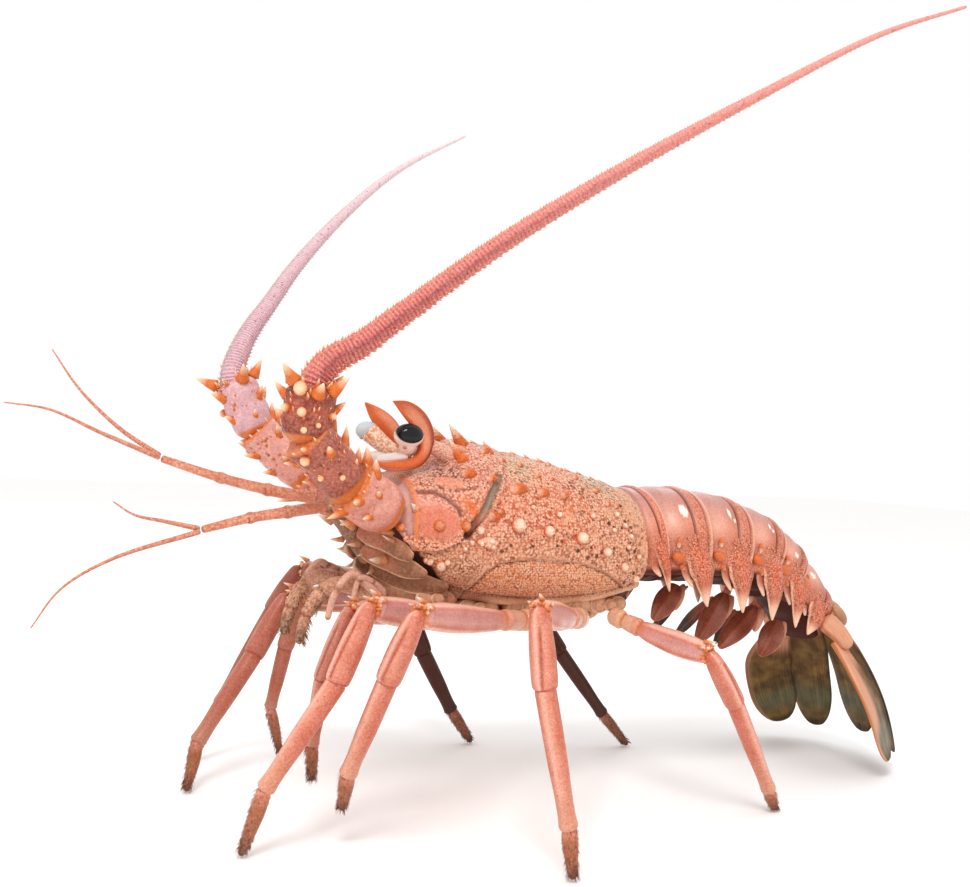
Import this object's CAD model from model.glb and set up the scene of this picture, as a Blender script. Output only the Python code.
import bpy
import numpy as np
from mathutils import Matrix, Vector


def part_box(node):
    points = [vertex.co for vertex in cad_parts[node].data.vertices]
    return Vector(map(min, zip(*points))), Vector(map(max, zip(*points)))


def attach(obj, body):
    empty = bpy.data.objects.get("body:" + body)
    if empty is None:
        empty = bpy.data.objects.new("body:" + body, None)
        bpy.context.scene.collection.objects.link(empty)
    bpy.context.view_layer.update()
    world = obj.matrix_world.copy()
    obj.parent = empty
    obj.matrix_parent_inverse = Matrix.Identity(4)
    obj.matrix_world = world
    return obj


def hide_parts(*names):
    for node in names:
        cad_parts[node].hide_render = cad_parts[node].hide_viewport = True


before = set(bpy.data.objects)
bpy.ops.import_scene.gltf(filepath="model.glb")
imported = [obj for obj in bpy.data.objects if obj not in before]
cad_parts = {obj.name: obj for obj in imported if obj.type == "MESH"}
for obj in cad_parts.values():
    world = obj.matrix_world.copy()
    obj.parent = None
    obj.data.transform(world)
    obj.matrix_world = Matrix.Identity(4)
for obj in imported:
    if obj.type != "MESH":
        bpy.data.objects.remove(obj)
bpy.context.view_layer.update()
bpy.ops.object.select_all(action="DESELECT")

# ---------------------------------------------------------------- carapace
# The one-piece shell over head and body: raw chitin stiffened with lime, salmon and orange-tan, with
# brown pits between cream grains. It is moulded from a ball of faces by the shell's own outline, and
# the furrows, the rims and the swollen cheek are raised and sunk in the mesh.

MM = 0.001
SHELL_FRONT, SHELL_BACK = -65, 60
SIDES = {"left": -1, "right": 1}
shell_low, shell_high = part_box("carapace")
# Lengths are in millimetres along the animal: x towards the tail, out from its middle, and height.
ORIGIN = np.array([shell_high.x / MM - SHELL_BACK, (shell_low.y + shell_high.y) / MM / 2, 0.0])


def power(value, exponent):
    return np.sign(value) * np.abs(value) ** exponent


def smooth(low, high, value):
    share = np.clip((value - low) / (high - low), 0, 1)
    return share * share * (3 - 2 * share)


def hill(distance, width):
    return np.exp(-((distance / width) ** 2))


def through(*pairs):
    """A smooth function through the given pairs of length and value."""
    at, value = np.array(pairs, float).T
    slope = np.gradient(value, at)

    def read(length):
        length = np.clip(length, at[0], at[-1])
        i = np.clip(np.searchsorted(at, length, side="right") - 1, 0, len(at) - 2)
        span = at[i + 1] - at[i]
        s = (length - at[i]) / span
        start = (2 * s**3 - 3 * s**2 + 1) * value[i] + (s**3 - 2 * s**2 + s) * span * slope[i]
        return start + (3 * s**2 - 2 * s**3) * value[i + 1] + (s**3 - s**2) * span * slope[i + 1]

    return read


def stack(x, out, z):
    return np.stack(np.broadcast_arrays(x, out, z), axis=-1).astype(float)


def mirrored(side, points):
    """Points of the right side, or the same ones on the left side of the animal's middle."""
    return [(x, side * out, z) for x, out, z in points]


def unit(vectors):
    return vectors / np.linalg.norm(vectors, axis=-1, keepdims=True)


def crosswise(vectors, way):
    """The unit vectors square to a way that lie nearest to the given ones."""
    return unit(vectors - way * np.sum(vectors * way, axis=-1, keepdims=True))


def corners_of(piece):
    places = np.empty(len(piece.data.vertices) * 3)
    piece.data.vertices.foreach_get("co", places)
    return places.reshape(-1, 3)


def ball_turns(piece):
    """Each corner's share of the way from pole to pole of a ball, and its turn round the poles."""
    ball = corners_of(piece)
    return np.arccos(np.clip(-ball[:, 2], -1, 1)) / np.pi, np.arctan2(ball[:, 1], ball[:, 0])


def mark(piece, marks):
    """Numbers on the corners of a piece, which its material reads by name."""
    for name, values in marks.items():
        written = piece.data.attributes.new(name, "FLOAT", "POINT")
        values = np.broadcast_to(values, len(piece.data.vertices)).astype(np.float32)
        written.data.foreach_set("value", np.ascontiguousarray(values))


def moulded(name, around, along, rule):
    """A ball of faces whose corners go where the rule says. t runs from pole to pole, and a and b are the
    corner's place on the circle round them. The rule gives the places and the marks."""
    bpy.ops.mesh.primitive_uv_sphere_add(segments=around, ring_count=along)
    piece = bpy.context.object
    piece.name = name
    t, angle = ball_turns(piece)
    places, marks = rule(t, np.cos(angle), np.sin(angle))
    piece.data.vertices.foreach_set("co", ((places + ORIGIN) * MM).ravel())
    mark(piece, marks)
    bpy.ops.object.mode_set(mode="EDIT")
    bpy.ops.mesh.select_all(action="SELECT")
    bpy.ops.mesh.normals_make_consistent(inside=False)
    bpy.ops.object.mode_set(mode="OBJECT")
    bpy.ops.object.shade_smooth()
    return piece


def raised(piece, heights):
    """Lifts each corner of a piece off its surface by its own height in millimetres."""
    normals = np.empty(len(piece.data.vertices) * 3, np.float32)
    piece.data.vertex_normals.foreach_get("vector", normals)
    lifted = corners_of(piece) + normals.reshape(-1, 3) * (heights * MM)[:, None]
    piece.data.vertices.foreach_set("co", lifted.ravel())
    piece.data.update()


THORN = lambda s: np.minimum(s / 0.1, 1) * (1 - s) ** 0.78
KNOB = lambda s: np.sqrt(np.clip(1 - (2 * s - 1) ** 2, 0, 1))
HAIR = lambda s: np.minimum(s / 0.1, 1) * (1 - s) ** 0.5


def thorns(name, roots, tips, radii, profile=THORN, around=9, along=7, bow=(0, 0, 0), pale=1.0):
    """One mesh of many thorns, knobs or hairs, each from its root inside the shell to its tip, whose end
    is as pale as the number says."""
    roots, tips = np.array(roots, float), np.array(tips, float)
    radii = np.broadcast_to(np.array(radii, float), len(roots))
    bows = np.broadcast_to(np.array(bow, float), roots.shape)
    bpy.ops.mesh.primitive_uv_sphere_add(segments=around, ring_count=along)
    model = bpy.context.object
    s, angle = ball_turns(model)
    faces = [list(face.vertices) for face in model.data.polygons]
    bpy.data.meshes.remove(model.data)
    axis = tips - roots
    way = unit(axis)
    helper = np.where(np.abs(way[:, 2:]) < 0.9, np.array([[0, 0, 1.0]]), np.array([[1.0, 0, 0]]))
    across = unit(np.cross(helper, way))
    up = np.cross(way, across)
    ring = profile(s)[None, :, None] * radii[:, None, None]
    places = roots[:, None] + axis[:, None] * s[None, :, None] + bows[:, None] * (s**2)[None, :, None]
    places = places + ring * (across[:, None] * np.cos(angle)[None, :, None])
    places = places + ring * (up[:, None] * np.sin(angle)[None, :, None])
    count = len(s)
    every = [[corner + count * i for corner in face] for i in range(len(roots)) for face in faces]
    mesh = bpy.data.meshes.new(name)
    mesh.from_pydata(((places.reshape(-1, 3) + ORIGIN) * MM).tolist(), [], every)
    piece = bpy.data.objects.new(name, mesh)
    bpy.context.scene.collection.objects.link(piece)
    paleness = np.repeat(np.broadcast_to(pale, len(roots)), count)
    mark(piece, {"tip": np.tile(s, len(roots)) * paleness, "thorn": 1.0})
    mesh.shade_smooth()
    return piece


def joined(main, *others):
    bpy.ops.object.select_all(action="DESELECT")
    for piece in (main, *others):
        piece.select_set(True)
    bpy.context.view_layer.objects.active = main
    bpy.ops.object.join()
    bpy.ops.object.select_all(action="DESELECT")
    return main


def linear(colour):
    """An sRGB hex colour as the linear numbers of a shader socket."""
    shares = [int(colour[i : i + 2], 16) / 255 for i in (1, 3, 5)]
    return (*(v / 12.92 if v <= 0.04045 else ((v + 0.055) / 1.055) ** 2.4 for v in shares), 1)


def put(tree, kind, inputs, **settings):
    """Adds a shader node with its settings, and gives each input a value or a link."""
    made = tree.nodes.new("ShaderNode" + kind)
    for name, value in settings.items():
        setattr(made, name, value)
    for key, value in inputs.items():
        if isinstance(value, bpy.types.NodeSocket):
            tree.links.new(value, made.inputs[key])
        else:
            made.inputs[key].default_value = value
    return made


def share_of(tree, name):
    """The numbers of a mark on the piece."""
    return put(tree, "Attribute", {}, attribute_name=name).outputs["Fac"]


def noise(tree, place, size, detail, roughness=0.5):
    """Soft random patches of that size in millimetres."""
    inputs = {"Vector": place, "Scale": 1 / (size * MM), "Detail": detail, "Roughness": roughness}
    return put(tree, "TexNoise", inputs).outputs["Fac"]


def cells(tree, place, spacing, randomness):
    """Random cells that lie that many millimetres apart."""
    inputs = {"Vector": place, "Scale": 1 / (spacing * MM), "Randomness": randomness}
    return put(tree, "TexVoronoi", inputs).outputs


def ranged(tree, value, low, high, to_low=0.0, to_high=1.0):
    inputs = {"Value": value, "From Min": low, "From Max": high, "To Min": to_low, "To Max": to_high}
    return put(tree, "MapRange", inputs).outputs[0]


def sums(tree, operation, *values, **settings):
    return put(tree, "Math", dict(enumerate(values)), operation=operation, **settings).outputs[0]


def over(tree, share, under, paint, **settings):
    """A colour laid over another by a share."""
    inputs = {0: share, 6: under, 7: paint}
    return put(tree, "Mix", inputs, data_type="RGBA", **settings).outputs[2]


def fresh_material(name):
    """A new material, its nodes, its main shader and the place on the piece that its patterns read."""
    material = bpy.data.materials.new(name)
    material.use_nodes = True
    tree = material.node_tree
    return material, tree, tree.nodes["Principled BSDF"], put(tree, "TexCoord", {}).outputs["Object"]


def surface(tree, skin, colour, height, strength, relief):
    """Links the shader's colour, and its bump with that relief in millimetres."""
    bump = put(tree, "Bump", {"Height": height, "Strength": strength, "Distance": relief * MM})
    tree.links.new(colour, skin.inputs["Base Color"])
    tree.links.new(bump.outputs[0], skin.inputs["Normal"])


BLOTCH, DUST = 9, 0.9  # mm, the size of the mottled patches and of the finest grime


def chitin(name, ground, mottle, zones, pits, grains, shine, relief=0.25, thorn=None):
    """Raw crustacean shell. zones are pairs of a mark and its colour, in the order they cover each other.
    Each row of pits gives spacing and reach in millimetres, a colour, how strongly it shows and the mark
    that says where, if any; grains give spacing, colour and weight. The marks plain and fine leave out
    both, or the pits alone, and the mark dull takes the gloss off. shine is the roughness and the weight
    of the wet coat."""
    material, tree, skin, place = fresh_material(name)
    blotch = noise(tree, place, BLOTCH, 4, 0.6)
    colour = over(tree, ranged(tree, blotch, 0.38, 0.64), linear(ground), linear(mottle))
    rough = sums(tree, "SUBTRACT", 1.0, share_of(tree, "plain"), use_clamp=True)
    fine = share_of(tree, "fine")
    for zone, paint in zones:
        colour = over(tree, share_of(tree, zone), colour, linear(paint))

    # Grains: small raised beads side by side, paler than the valleys between them.
    spacing, paint, weight = grains
    coarse_grain = cells(tree, place, spacing, 0.8)["Distance"]
    fine_grain = cells(tree, place, spacing / 1.15, 0.7)["Distance"]
    away = put(tree, "Mix", {0: fine, 2: coarse_grain, 3: fine_grain}).outputs[0]
    bead = ranged(tree, away, 0.26, 0.72, 1, 0)
    shown = ranged(tree, noise(tree, place, 5, 2), 0.35, 0.6, 0.5 * weight, weight)
    shown = sums(tree, "MULTIPLY", shown, rough)
    height = bead_share = sums(tree, "MULTIPLY", bead, shown)
    valley = sums(tree, "SUBTRACT", shown, bead_share)
    warm = over(tree, valley, (1, 1, 1, 1), linear("#cf9072"))
    colour = over(tree, 1.0, colour, warm, blend_type="MULTIPLY")
    colour = over(tree, bead_share, colour, linear(paint))

    # Pits: holes at the middle of larger cells, of uneven size, each with its own depth of brown.
    bare = sums(tree, "SUBTRACT", rough, fine, use_clamp=True)
    for spacing, reach, paint, weight, *where in pits:
        holes = cells(tree, place, spacing, 1)
        size = put(tree, "SeparateColor", {"Color": holes["Color"]}).outputs[0]
        edge = sums(tree, "MULTIPLY", size, reach / spacing)
        inner = sums(tree, "SUBTRACT", edge, holes["Distance"])
        hole_share = sums(tree, "MULTIPLY", ranged(tree, inner, -0.05, 0.12, 0, weight), bare)
        for zone in where:
            hole_share = sums(tree, "MULTIPLY", hole_share, share_of(tree, zone))
        colour = over(tree, hole_share, colour, linear(paint))
        height = sums(tree, "SUBTRACT", height, hole_share)

    if thorn:
        # Thorns and knobs go from the colour of their root to a pale tip.
        rise = ranged(tree, share_of(tree, "tip"), 0.42, 0.92)
        spike = over(tree, rise, linear(thorn[0]), linear(thorn[1]))
        colour = over(tree, share_of(tree, "thorn"), colour, spike)

    dust = noise(tree, place, DUST, 3, 0.7)
    tone = ranged(tree, dust, 0.3, 0.7, 0.8, 1.14)
    colour = over(tree, 1.0, colour, tone, blend_type="MULTIPLY")
    height = sums(tree, "MULTIPLY_ADD", dust, 0.3, height)
    surface(tree, skin, colour, height, 1.0, relief)
    gloss = ranged(tree, blotch, 0.3, 0.7, shine[0] - 0.07, shine[0] + 0.08)
    gloss = sums(tree, "MULTIPLY_ADD", share_of(tree, "dull"), 0.55, gloss)
    tree.links.new(gloss, skin.inputs["Roughness"])
    skin.inputs["IOR"].default_value = 1.45
    skin.inputs["Specular IOR Level"].default_value = 0.22
    skin.inputs["Coat Weight"].default_value = shine[1]
    skin.inputs["Coat Roughness"].default_value = 0.3
    return material


def wear(piece, material):
    piece.data.materials.clear()
    piece.data.materials.append(material)
    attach(piece, "root")


# Outlines of the shell: its back, its lower edge and its half width, by length.
ridge = through((-65, 141), (-58, 146.5), (-48, 149.5), (-41, 153), (-35, 159), (-28, 161.8), (-10, 159.6),
                (5, 156.5), (28, 151.2), (45, 146.8), (60, 142.3))
margin = through((-65, 119), (-62, 113), (-54, 105.5), (-45, 98.6), (-35, 95), (-15, 91.5), (14, 90.5),
                 (40, 92.5), (60, 97))
flank = through((-65, 27), (-55, 31), (-30, 35), (10, 37), (40, 36), (60, 32.5))
WAIST, FACE_LEAN, MOUTH_DEPTH = 0.36, 0.28, 17


def roundness(x):
    return 0.62 + 0.3 * smooth(-58, -30, x)


def shell_point(x, across, up):
    """A place on the shell at x, where across and up lie on the circle round it."""
    low = margin(x)
    waist = low + WAIST * (ridge(x) - low)
    above = (ridge(x) - waist) * power(up, roundness(x))
    below = (waist - low) * power(up, 0.6)
    out = flank(x) * power(across, np.where(up > 0, roundness(x), 0.55))
    z = waist + np.where(up > 0, above, below)
    groove = 1.8 * hill(x + 6 - 0.5 * (z - 156), 3) * np.maximum(0, up)
    lean = FACE_LEAN * (1 - smooth(SHELL_FRONT, -20, x)) * np.maximum(0, z - 125)
    mouth = MOUTH_DEPTH * (1 - smooth(SHELL_FRONT, -28, x)) * np.maximum(0, -up) ** 1.5
    return stack(x + lean + mouth, out * (1 - groove / 37), z - groove)


def flank_place(side, x, z, proud=0.0):
    """A place on the shell's side at x and a height, lifted off it by proud, and the way out of it."""
    low = margin(x)
    waist = low + WAIST * (ridge(x) - low)
    share = np.where(z > waist, (z - waist) / (ridge(x) - waist), (z - waist) / (waist - low))
    up = power(np.clip(share, -0.98, 0.998), 1 / np.where(z > waist, roundness(x), 0.6))
    across = side * np.sqrt(1 - up * up)
    outward = stack(0, across, up)
    return shell_point(x, across, up) + outward * proud, outward


def to_line(x, z, line):
    """How far each place is from a line of points over the shell's side."""
    line = np.array(line, float)
    nearest = np.full(len(x), 1e9)
    for (x0, z0), (x1, z1) in zip(line[:-1], line[1:]):
        run = np.array([x1 - x0, z1 - z0])
        share = np.clip(((x - x0) * run[0] + (z - z0) * run[1]) / (run @ run), 0, 1)
        nearest = np.minimum(nearest, np.hypot(x - x0 - share * run[0], z - z0 - share * run[1]))
    return nearest


def from_spot(x, z, spot):
    """How far each place is from a spot on the side, in shares of the spot's own half sizes."""
    at_x, at_z, half_length, half_height, slant = spot
    away = (x - at_x + slant * (z - at_z)) / half_length
    return np.hypot(away, (z - at_z) / half_height)


# Spots on each side: x, height, half length, half height, and how far it leans forwards as it rises.
CHEEK = (-47.6, 127.5, 11.5, 8.5, 0.35)
CHEEK_SWELL = (-47.6, 127.5, 13, 10.5, 0.35)
LOBE = (-38.6, 143.2, 6.5, 2.6, 0.5)
EMBER = (-31.2, 133, 0.8, 1.9, 0.55)
PINK_PATCH = (-49, 134.5, 12, 5.5, 0)
TEMPLE = (-38, 147, 1.3, 1, 0)
TEMPLE_PITS = (-38, 147, 1.5, 1, 0)
MOSS = ((-3, 151, 1.3, 1, 0), (40, 146, 2.2, 1, 0))
WARM = ((12, 131, 2.1, 1, 0), (-25, 136, 1, 1, 0))
# Lines over each side, as x and height: the furrow behind the head, the fold over the cheek, the bead
# round the lower panel, and the bead before the back rim.
FURROW = [(-16, 146.5), (-18.1, 143.2), (-21.8, 138.1), (-25.7, 131), (-29.6, 126.9), (-33.1, 121.8)]
CHEEK_EDGE = [(-33.1, 121.8), (-39.1, 116.8), (-46.3, 113.4), (-55.3, 113.5), (-61, 117)]
CHEEK_FOLD = [(-53.5, 139.6), (-46.4, 139.8), (-41.4, 137.4), (-36.8, 133), (-35.9, 129.8)]
ORBIT_RIM = [(-29, 161), (-36, 157), (-42, 153.2), (-49, 149.5), (-56, 146)]
PANEL_EDGE = [(-30, 95.5), (-27, 100.3), (-23.4, 105.6), (-18.1, 109.3), (-8, 110.8), (4.6, 111.1),
              (21.6, 109.3), (34.7, 105.1), (43, 100.6), (49, 97.5)]
panel_top = through(*PANEL_EDGE)
rear_line = through((92, 57.6), (100, 57.6), (108, 56.8), (117, 53.7), (127, 50.5), (137, 49.5), (148, 52))


def carapace_rule(t, a, b):
    closing = np.clip(np.minimum(t, 1 - t) / 0.03, 0, 1)
    x = SHELL_FRONT + (SHELL_BACK - SHELL_FRONT) * np.clip((t - 0.03) / 0.94, 0, 1)
    rim = shell_point(x, a, b)
    middle = stack(np.where(x < 0, x + MOUTH_DEPTH / 2, x), 0, (ridge(x) + margin(x)) / 2)
    places = middle + (rim - middle) * (1 - (1 - closing) ** 2.5)[:, None]
    x, z = places[:, 0], places[:, 2]
    outside = smooth(0.12, 0.3, np.abs(a)) * (closing > 0.5)
    along = smooth(-31, -27, x) * (1 - smooth(46, 50, x))
    cheek = smooth(1.3, 0.65, from_spot(x, z, CHEEK)) * outside
    panel = along * smooth(0.5, -0.5, z - panel_top(x)) * smooth(1.6, 2.8, z - margin(x)) * outside
    lobe = smooth(1.15, 0.75, from_spot(x, z, LOBE)) * outside
    ember = hill(from_spot(x, z, EMBER), 3.1) * outside
    tan = smooth(-16, -32, x) * smooth(118, 110, z) * outside
    furrow = smooth(2.4, 1.2, to_line(x, z, FURROW)) * outside
    fold = 0.9 * smooth(1.3, 0.5, to_line(x, z, CHEEK_FOLD)) * outside
    bead = smooth(1.5, 0.9, to_line(x, z, PANEL_EDGE)) * (z > panel_top(x)) * outside
    rear = smooth(-0.4, 0.4, x - rear_line(z))
    skin = smooth(-55.8, -57, x) * smooth(111, 116, z) * smooth(149, 145, z)
    lip = hill(x + 55.2, 0.9) * smooth(112, 118, z) * smooth(149, 145, z) * outside
    bloom = smooth(3, 1.2, to_line(x, z, ORBIT_RIM)) * smooth(0.1, 0.3, b)
    top = smooth(-0.2, 0.6, b)
    low = smooth(3.0, 2.4, z - margin(x)) * outside
    marks = {
        "panel": panel, "fine": np.clip(panel + tan + 0.5 * low + bloom, 0, 1),
        "tan": tan, "skin": skin, "bloom": bloom,
        "pink": smooth(1.2, 0.7, from_spot(x, z, PINK_PATCH)) * outside,
        "cheek": cheek * smooth(137, 131, z), "lip": lip,
        "under": smooth(-0.7, -0.92, b) * smooth(-10, -25, x),
        "plain": np.maximum.reduce([0.85 * cheek, 0.6 * lobe, 0.85 * ember, smooth(-0.7, -0.92, b),
                                    0.5 * rear, 0.9 * furrow, fold, 0.8 * bead, skin, lip, 0.4 * low]),
        "lilac": smooth(-60, -50, x) * smooth(4, -22, x) * smooth(134, 146, z),
        "plum": hill(from_spot(x, z, TEMPLE), 5.5) * outside, "furrow": furrow * smooth(124, 136, z),
        "moss": np.clip(0.9 * hill(from_spot(x, z, MOSS[0]), 7) * top
                        + 0.7 * hill(from_spot(x, z, MOSS[1]), 6) * top
                        + 0.35 * smooth(26, 44, x) * smooth(120, 132, z), 0, 1),
        "warm": 0.9 * hill(from_spot(x, z, WARM[0]), 9) + 0.8 * hill(from_spot(x, z, WARM[1]), 7)
        * smooth(-30, -22, x),
        "sand": 0.8 * smooth(2, 14, z - panel_top(x)) * smooth(34, 12, z - panel_top(x)) * smooth(20, 44, x)
        + 0.6 * hill((z - panel_top(x) - 2) / 7, 1) * smooth(-24, -16, x),
        "rim": low * smooth(-58, -50, x),
        "crack": 0.75 * hill(to_line(x, z, PANEL_EDGE) - 0.1, 0.45) * outside
        + 0.8 * hill(to_line(x, z, CHEEK_EDGE), 0.6) * outside
        + 0.8 * hill(z - margin(x) - 3.1, 0.55) * outside
        + 0.6 * hill(from_spot(x, z, LOBE) - 1.2, 0.16) * smooth(144, 142, z) * outside
        + 0.85 * fold + 0.85 * furrow * smooth(132, 124, z)
        + 0.5 * hill(to_line(x, z, FURROW) - 1.7, 0.5) * outside,
        "pocked": np.clip(hill((z - panel_top(x) - 6.5) / 5, 1) * smooth(-24, -17, x) * outside
                          + 0.75 * top * smooth(10, 25, x)
                          + 0.8 * smooth(34, 42, x) + 0.8 * hill(from_spot(x, z, TEMPLE_PITS), 5), 0, 1),
        "ember": ember, "lobe": lobe,
    }
    return places, marks


carapace = moulded("shell_of_head_and_body", 300, 296, carapace_rule)
x, out, z = (corners_of(carapace) / MM - ORIGIN).T
beside = smooth(4, 12, np.abs(out))
behind_rear_line = x - rear_line(z)
over_panel = z > panel_top(x)
to_furrow, to_panel_edge = to_line(x, z, FURROW), to_line(x, z, PANEL_EDGE)
lift = -1.7 * hill(to_furrow, 1.5) + 0.8 * hill(to_furrow - 3.0, 0.9)
lift += -1.1 * hill(to_line(x, z, CHEEK_EDGE), 0.8) - 1.2 * hill(to_line(x, z, CHEEK_FOLD), 1.0)
lift += -0.8 * hill(to_panel_edge, 0.6) + 0.6 * hill(to_panel_edge - 1.3, 0.8) * over_panel
lift += 1.5 * smooth(1.2, 0.55, from_spot(x, z, CHEEK_SWELL))
lift += 1.2 * hill(from_spot(x, z, EMBER), 2.8)
lift += 1.3 * smooth(1.3, 0.5, from_spot(x, z, LOBE))
lift += 0.9 * hill(x + 55, 1.1) * smooth(112, 118, z) - 0.9 * smooth(-56, -57.5, x) * smooth(112, 118, z)
lift *= beside
lift += 0.9 * smooth(3, 1, to_line(x, z, ORBIT_RIM)) * (z > 140)
lift += -0.8 * hill(z - margin(x) - 3.1, 0.6) * beside + 2.2 * hill(z - margin(x) - 1.5, 1.1) * beside
lift += -0.6 * hill(behind_rear_line, 0.5) + 0.4 * hill(behind_rear_line + 1, 0.6)
swell = np.sin(x / 5.1 + 1.3) * np.sin(z / 4.3 + 0.4) + 0.6 * np.sin(x / 2.9 - z / 3.7 + out / 4.1)
lift += 0.3 * swell * (1 - smooth(0.6, -0.6, z - panel_top(x)) * (x > -30))
raised(carapace, lift)

# The frontal horns: each starts as the rim under an eye, curves up behind it and hooks forward over it.
HORN = [(-71, 19.5, 151.3), (-66, 19, 149.8), (-59.5, 17.8, 149.8), (-53, 16.4, 150.8), (-48.6, 15, 153.8),
        (-46.9, 14.4, 158.5), (-48.2, 14.2, 163.8), (-51.6, 14.6, 168.8), (-56.3, 15.5, 172.8),
        (-63, 17, 177.3)]
HORN_ROOT = [(-43.2, 14.2, 159), (-36, 13, 156), (-28, 12, 152)]
horn_thickness = through((0, 0.7), (0.12, 2.1), (0.5, 2.6), (0.72, 2.3), (1, 0.3))
horn_inner = through((0, 0.6), (0.12, 2.0), (0.35, 2.6), (0.5, 4.2), (0.62, 6.2),
                     (0.76, 6.4), (0.9, 4.2), (1, 0.3))
horn_outer = through((0, 0.6), (0.12, 2.0), (0.45, 2.4), (0.72, 2.6), (0.86, 2.0), (1, 0.3))


def centreline(points):
    """A smooth line through points: the place and the way along it at each share t of its length."""
    points = np.array(points, float)
    points = np.vstack([2 * points[0] - points[1], points, 2 * points[-1] - points[-2]])
    shares = np.linspace(0, 1, 60, endpoint=False)[:, None]
    pieces = []
    for p0, p1, p2, p3 in zip(points[:-3], points[1:-2], points[2:-1], points[3:]):
        d0, d1, d2 = (max(np.linalg.norm(q - p) ** 0.5, 1e-6) for p, q in ((p0, p1), (p1, p2), (p2, p3)))
        start = ((p1 - p0) / d0 - (p2 - p0) / (d0 + d1) + (p2 - p1) / d1) * d1
        end = ((p2 - p1) / d1 - (p3 - p1) / (d1 + d2) + (p3 - p2) / d2) * d1
        curve = p1 + start * shares + (-3 * p1 + 3 * p2 - 2 * start - end) * shares**2
        pieces.append(curve + (2 * p1 - 2 * p2 + start + end) * shares**3)
    line = np.vstack([*pieces, points[-2:-1]])
    steps = np.linalg.norm(np.diff(line, axis=0), axis=1)
    walked = np.concatenate([[0], np.cumsum(steps)])
    ways = np.gradient(line, walked, axis=0)

    def read(t):
        at = np.asarray(t) * walked[-1]
        place = np.stack([np.interp(at, walked, line[:, i]) for i in range(3)], axis=-1)
        way = np.stack([np.interp(at, walked, ways[:, i]) for i in range(3)], axis=-1)
        return place, unit(way)

    read.length = walked[-1]
    return read


def tube(name, points, section, around, along, broad=(0, 1, 0), marks=None, cap=1.0):
    """A tube along a line of points with rounded ends. section(t, a, b) gives the offsets across and up;
    cap is how many millimetres of each end are rounded. More rings lie near the ends."""
    line = centreline(points)

    def rule(t, a, b):
        t = t - 0.6 * np.sin(2 * np.pi * t) / (2 * np.pi)
        place, way = line(t)
        across = crosswise(np.array(broad, float), way)
        up = np.cross(way, across)
        reach = np.clip(np.minimum(t, 1 - t) * line.length / cap, 0, 1)
        close = np.sqrt(1 - (1 - reach) ** 2)
        wide, high = section(t, a, b)
        places = place + across * (wide * close)[:, None] + up * (high * close)[:, None]
        return places, marks(t, a, b) if marks else {}

    return moulded(name, around, along, rule)


def round_by(radius, tall=1.0):
    """The section of a round tube whose radius is a function of the share of its length."""
    return lambda t, a, b: (a * radius(t), b * radius(t) * tall)


for side in SIDES.values():
    horn = tube("horn", mirrored(side, HORN),
                lambda t, a, b: (a * horn_thickness(t) + 0.9 * side * smooth(0, 1, b) * smooth(0.4, 0.7, t),
                                 b * np.where(b * side * -1 > 0, horn_outer(t), horn_inner(t))), 36, 100,
                marks=lambda t, a, b: {
                    "plain": 1.0, "horn": 1.0,
                    "ember": np.maximum(0.9 * smooth(0.42, 0.2, t) * smooth(-0.2, 0.5, np.abs(b)),
                                        0.6 * smooth(0.88, 0.99, t)),
                    "blush": 0.45 * smooth(0.4, 0.55, t) * smooth(0.95, 0.8, t)
                    * smooth(0.7, 0.3, np.abs(b + 0.15))
                    + 0.7 * smooth(0.4, 0.2, t) * smooth(-0.3, -0.7, b),
                    "dark": 0.9 * hill(t - 0.52, 0.28) * smooth(0.3, 0.85, -b)
                    + 0.6 * hill(t - 0.5, 0.15) * smooth(0.5, 0.9, b)})
    root = tube("horn_root", mirrored(side, HORN_ROOT), round_by(lambda t: 2.9 + 2 * t), 28, 24,
                marks=lambda t, a, b: {"bloom": 0.8, "plain": 0.3, "fine": 1.0})
    carapace = joined(carapace, horn, root)

# Thorns on each side that point forwards: x and height of the root, then of the tip, and root radius.
SHELL_THORNS = [(-26, 160.5, -35.5, 168.5, 3.5), (-30.5, 152.5, -36.5, 158.8, 3.3),
                (-14, 156.5, -17.2, 159.2, 1.6), (-54.5, 130.4, -60.8, 132.9, 2.9)]
# Flat orange scales on each side that lie forwards: x, height, half length and half width.
SHELL_SCALES = [(-31.5, 147.9, 4, 2.1), (-20, 146, 2.7, 1.4), (-7.5, 142.3, 3.8, 2.4),
                (4.5, 140.6, 2.9, 2), (16, 139.4, 2, 1.6), (24, 138.7, 1.3, 1.2), (35.9, 141.5, 1.8, 1.3),
                (-18.7, 157.3, 2.2, 1.3), (-10.6, 154.4, 2, 1.2), (-18.6, 136.6, 1.4, 1.1),
                (-17.6, 132.4, 1.6, 1.5), (-21, 130.4, 2.6, 2), (35.5, 141.9, 1.6, 1.1),
                (39.7, 135.7, 1.5, 1.1), (44.5, 134.7, 1.4, 1), (-2.1, 152.1, 1.5, 1),
                (17.3, 152.4, 1.7, 1.1), (22.1, 150.3, 1.6, 1), (27.6, 147, 1.8, 1.1), (5, 147.5, 1.4, 0.9),
                (12, 146.3, 1.3, 0.9)]
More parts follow.
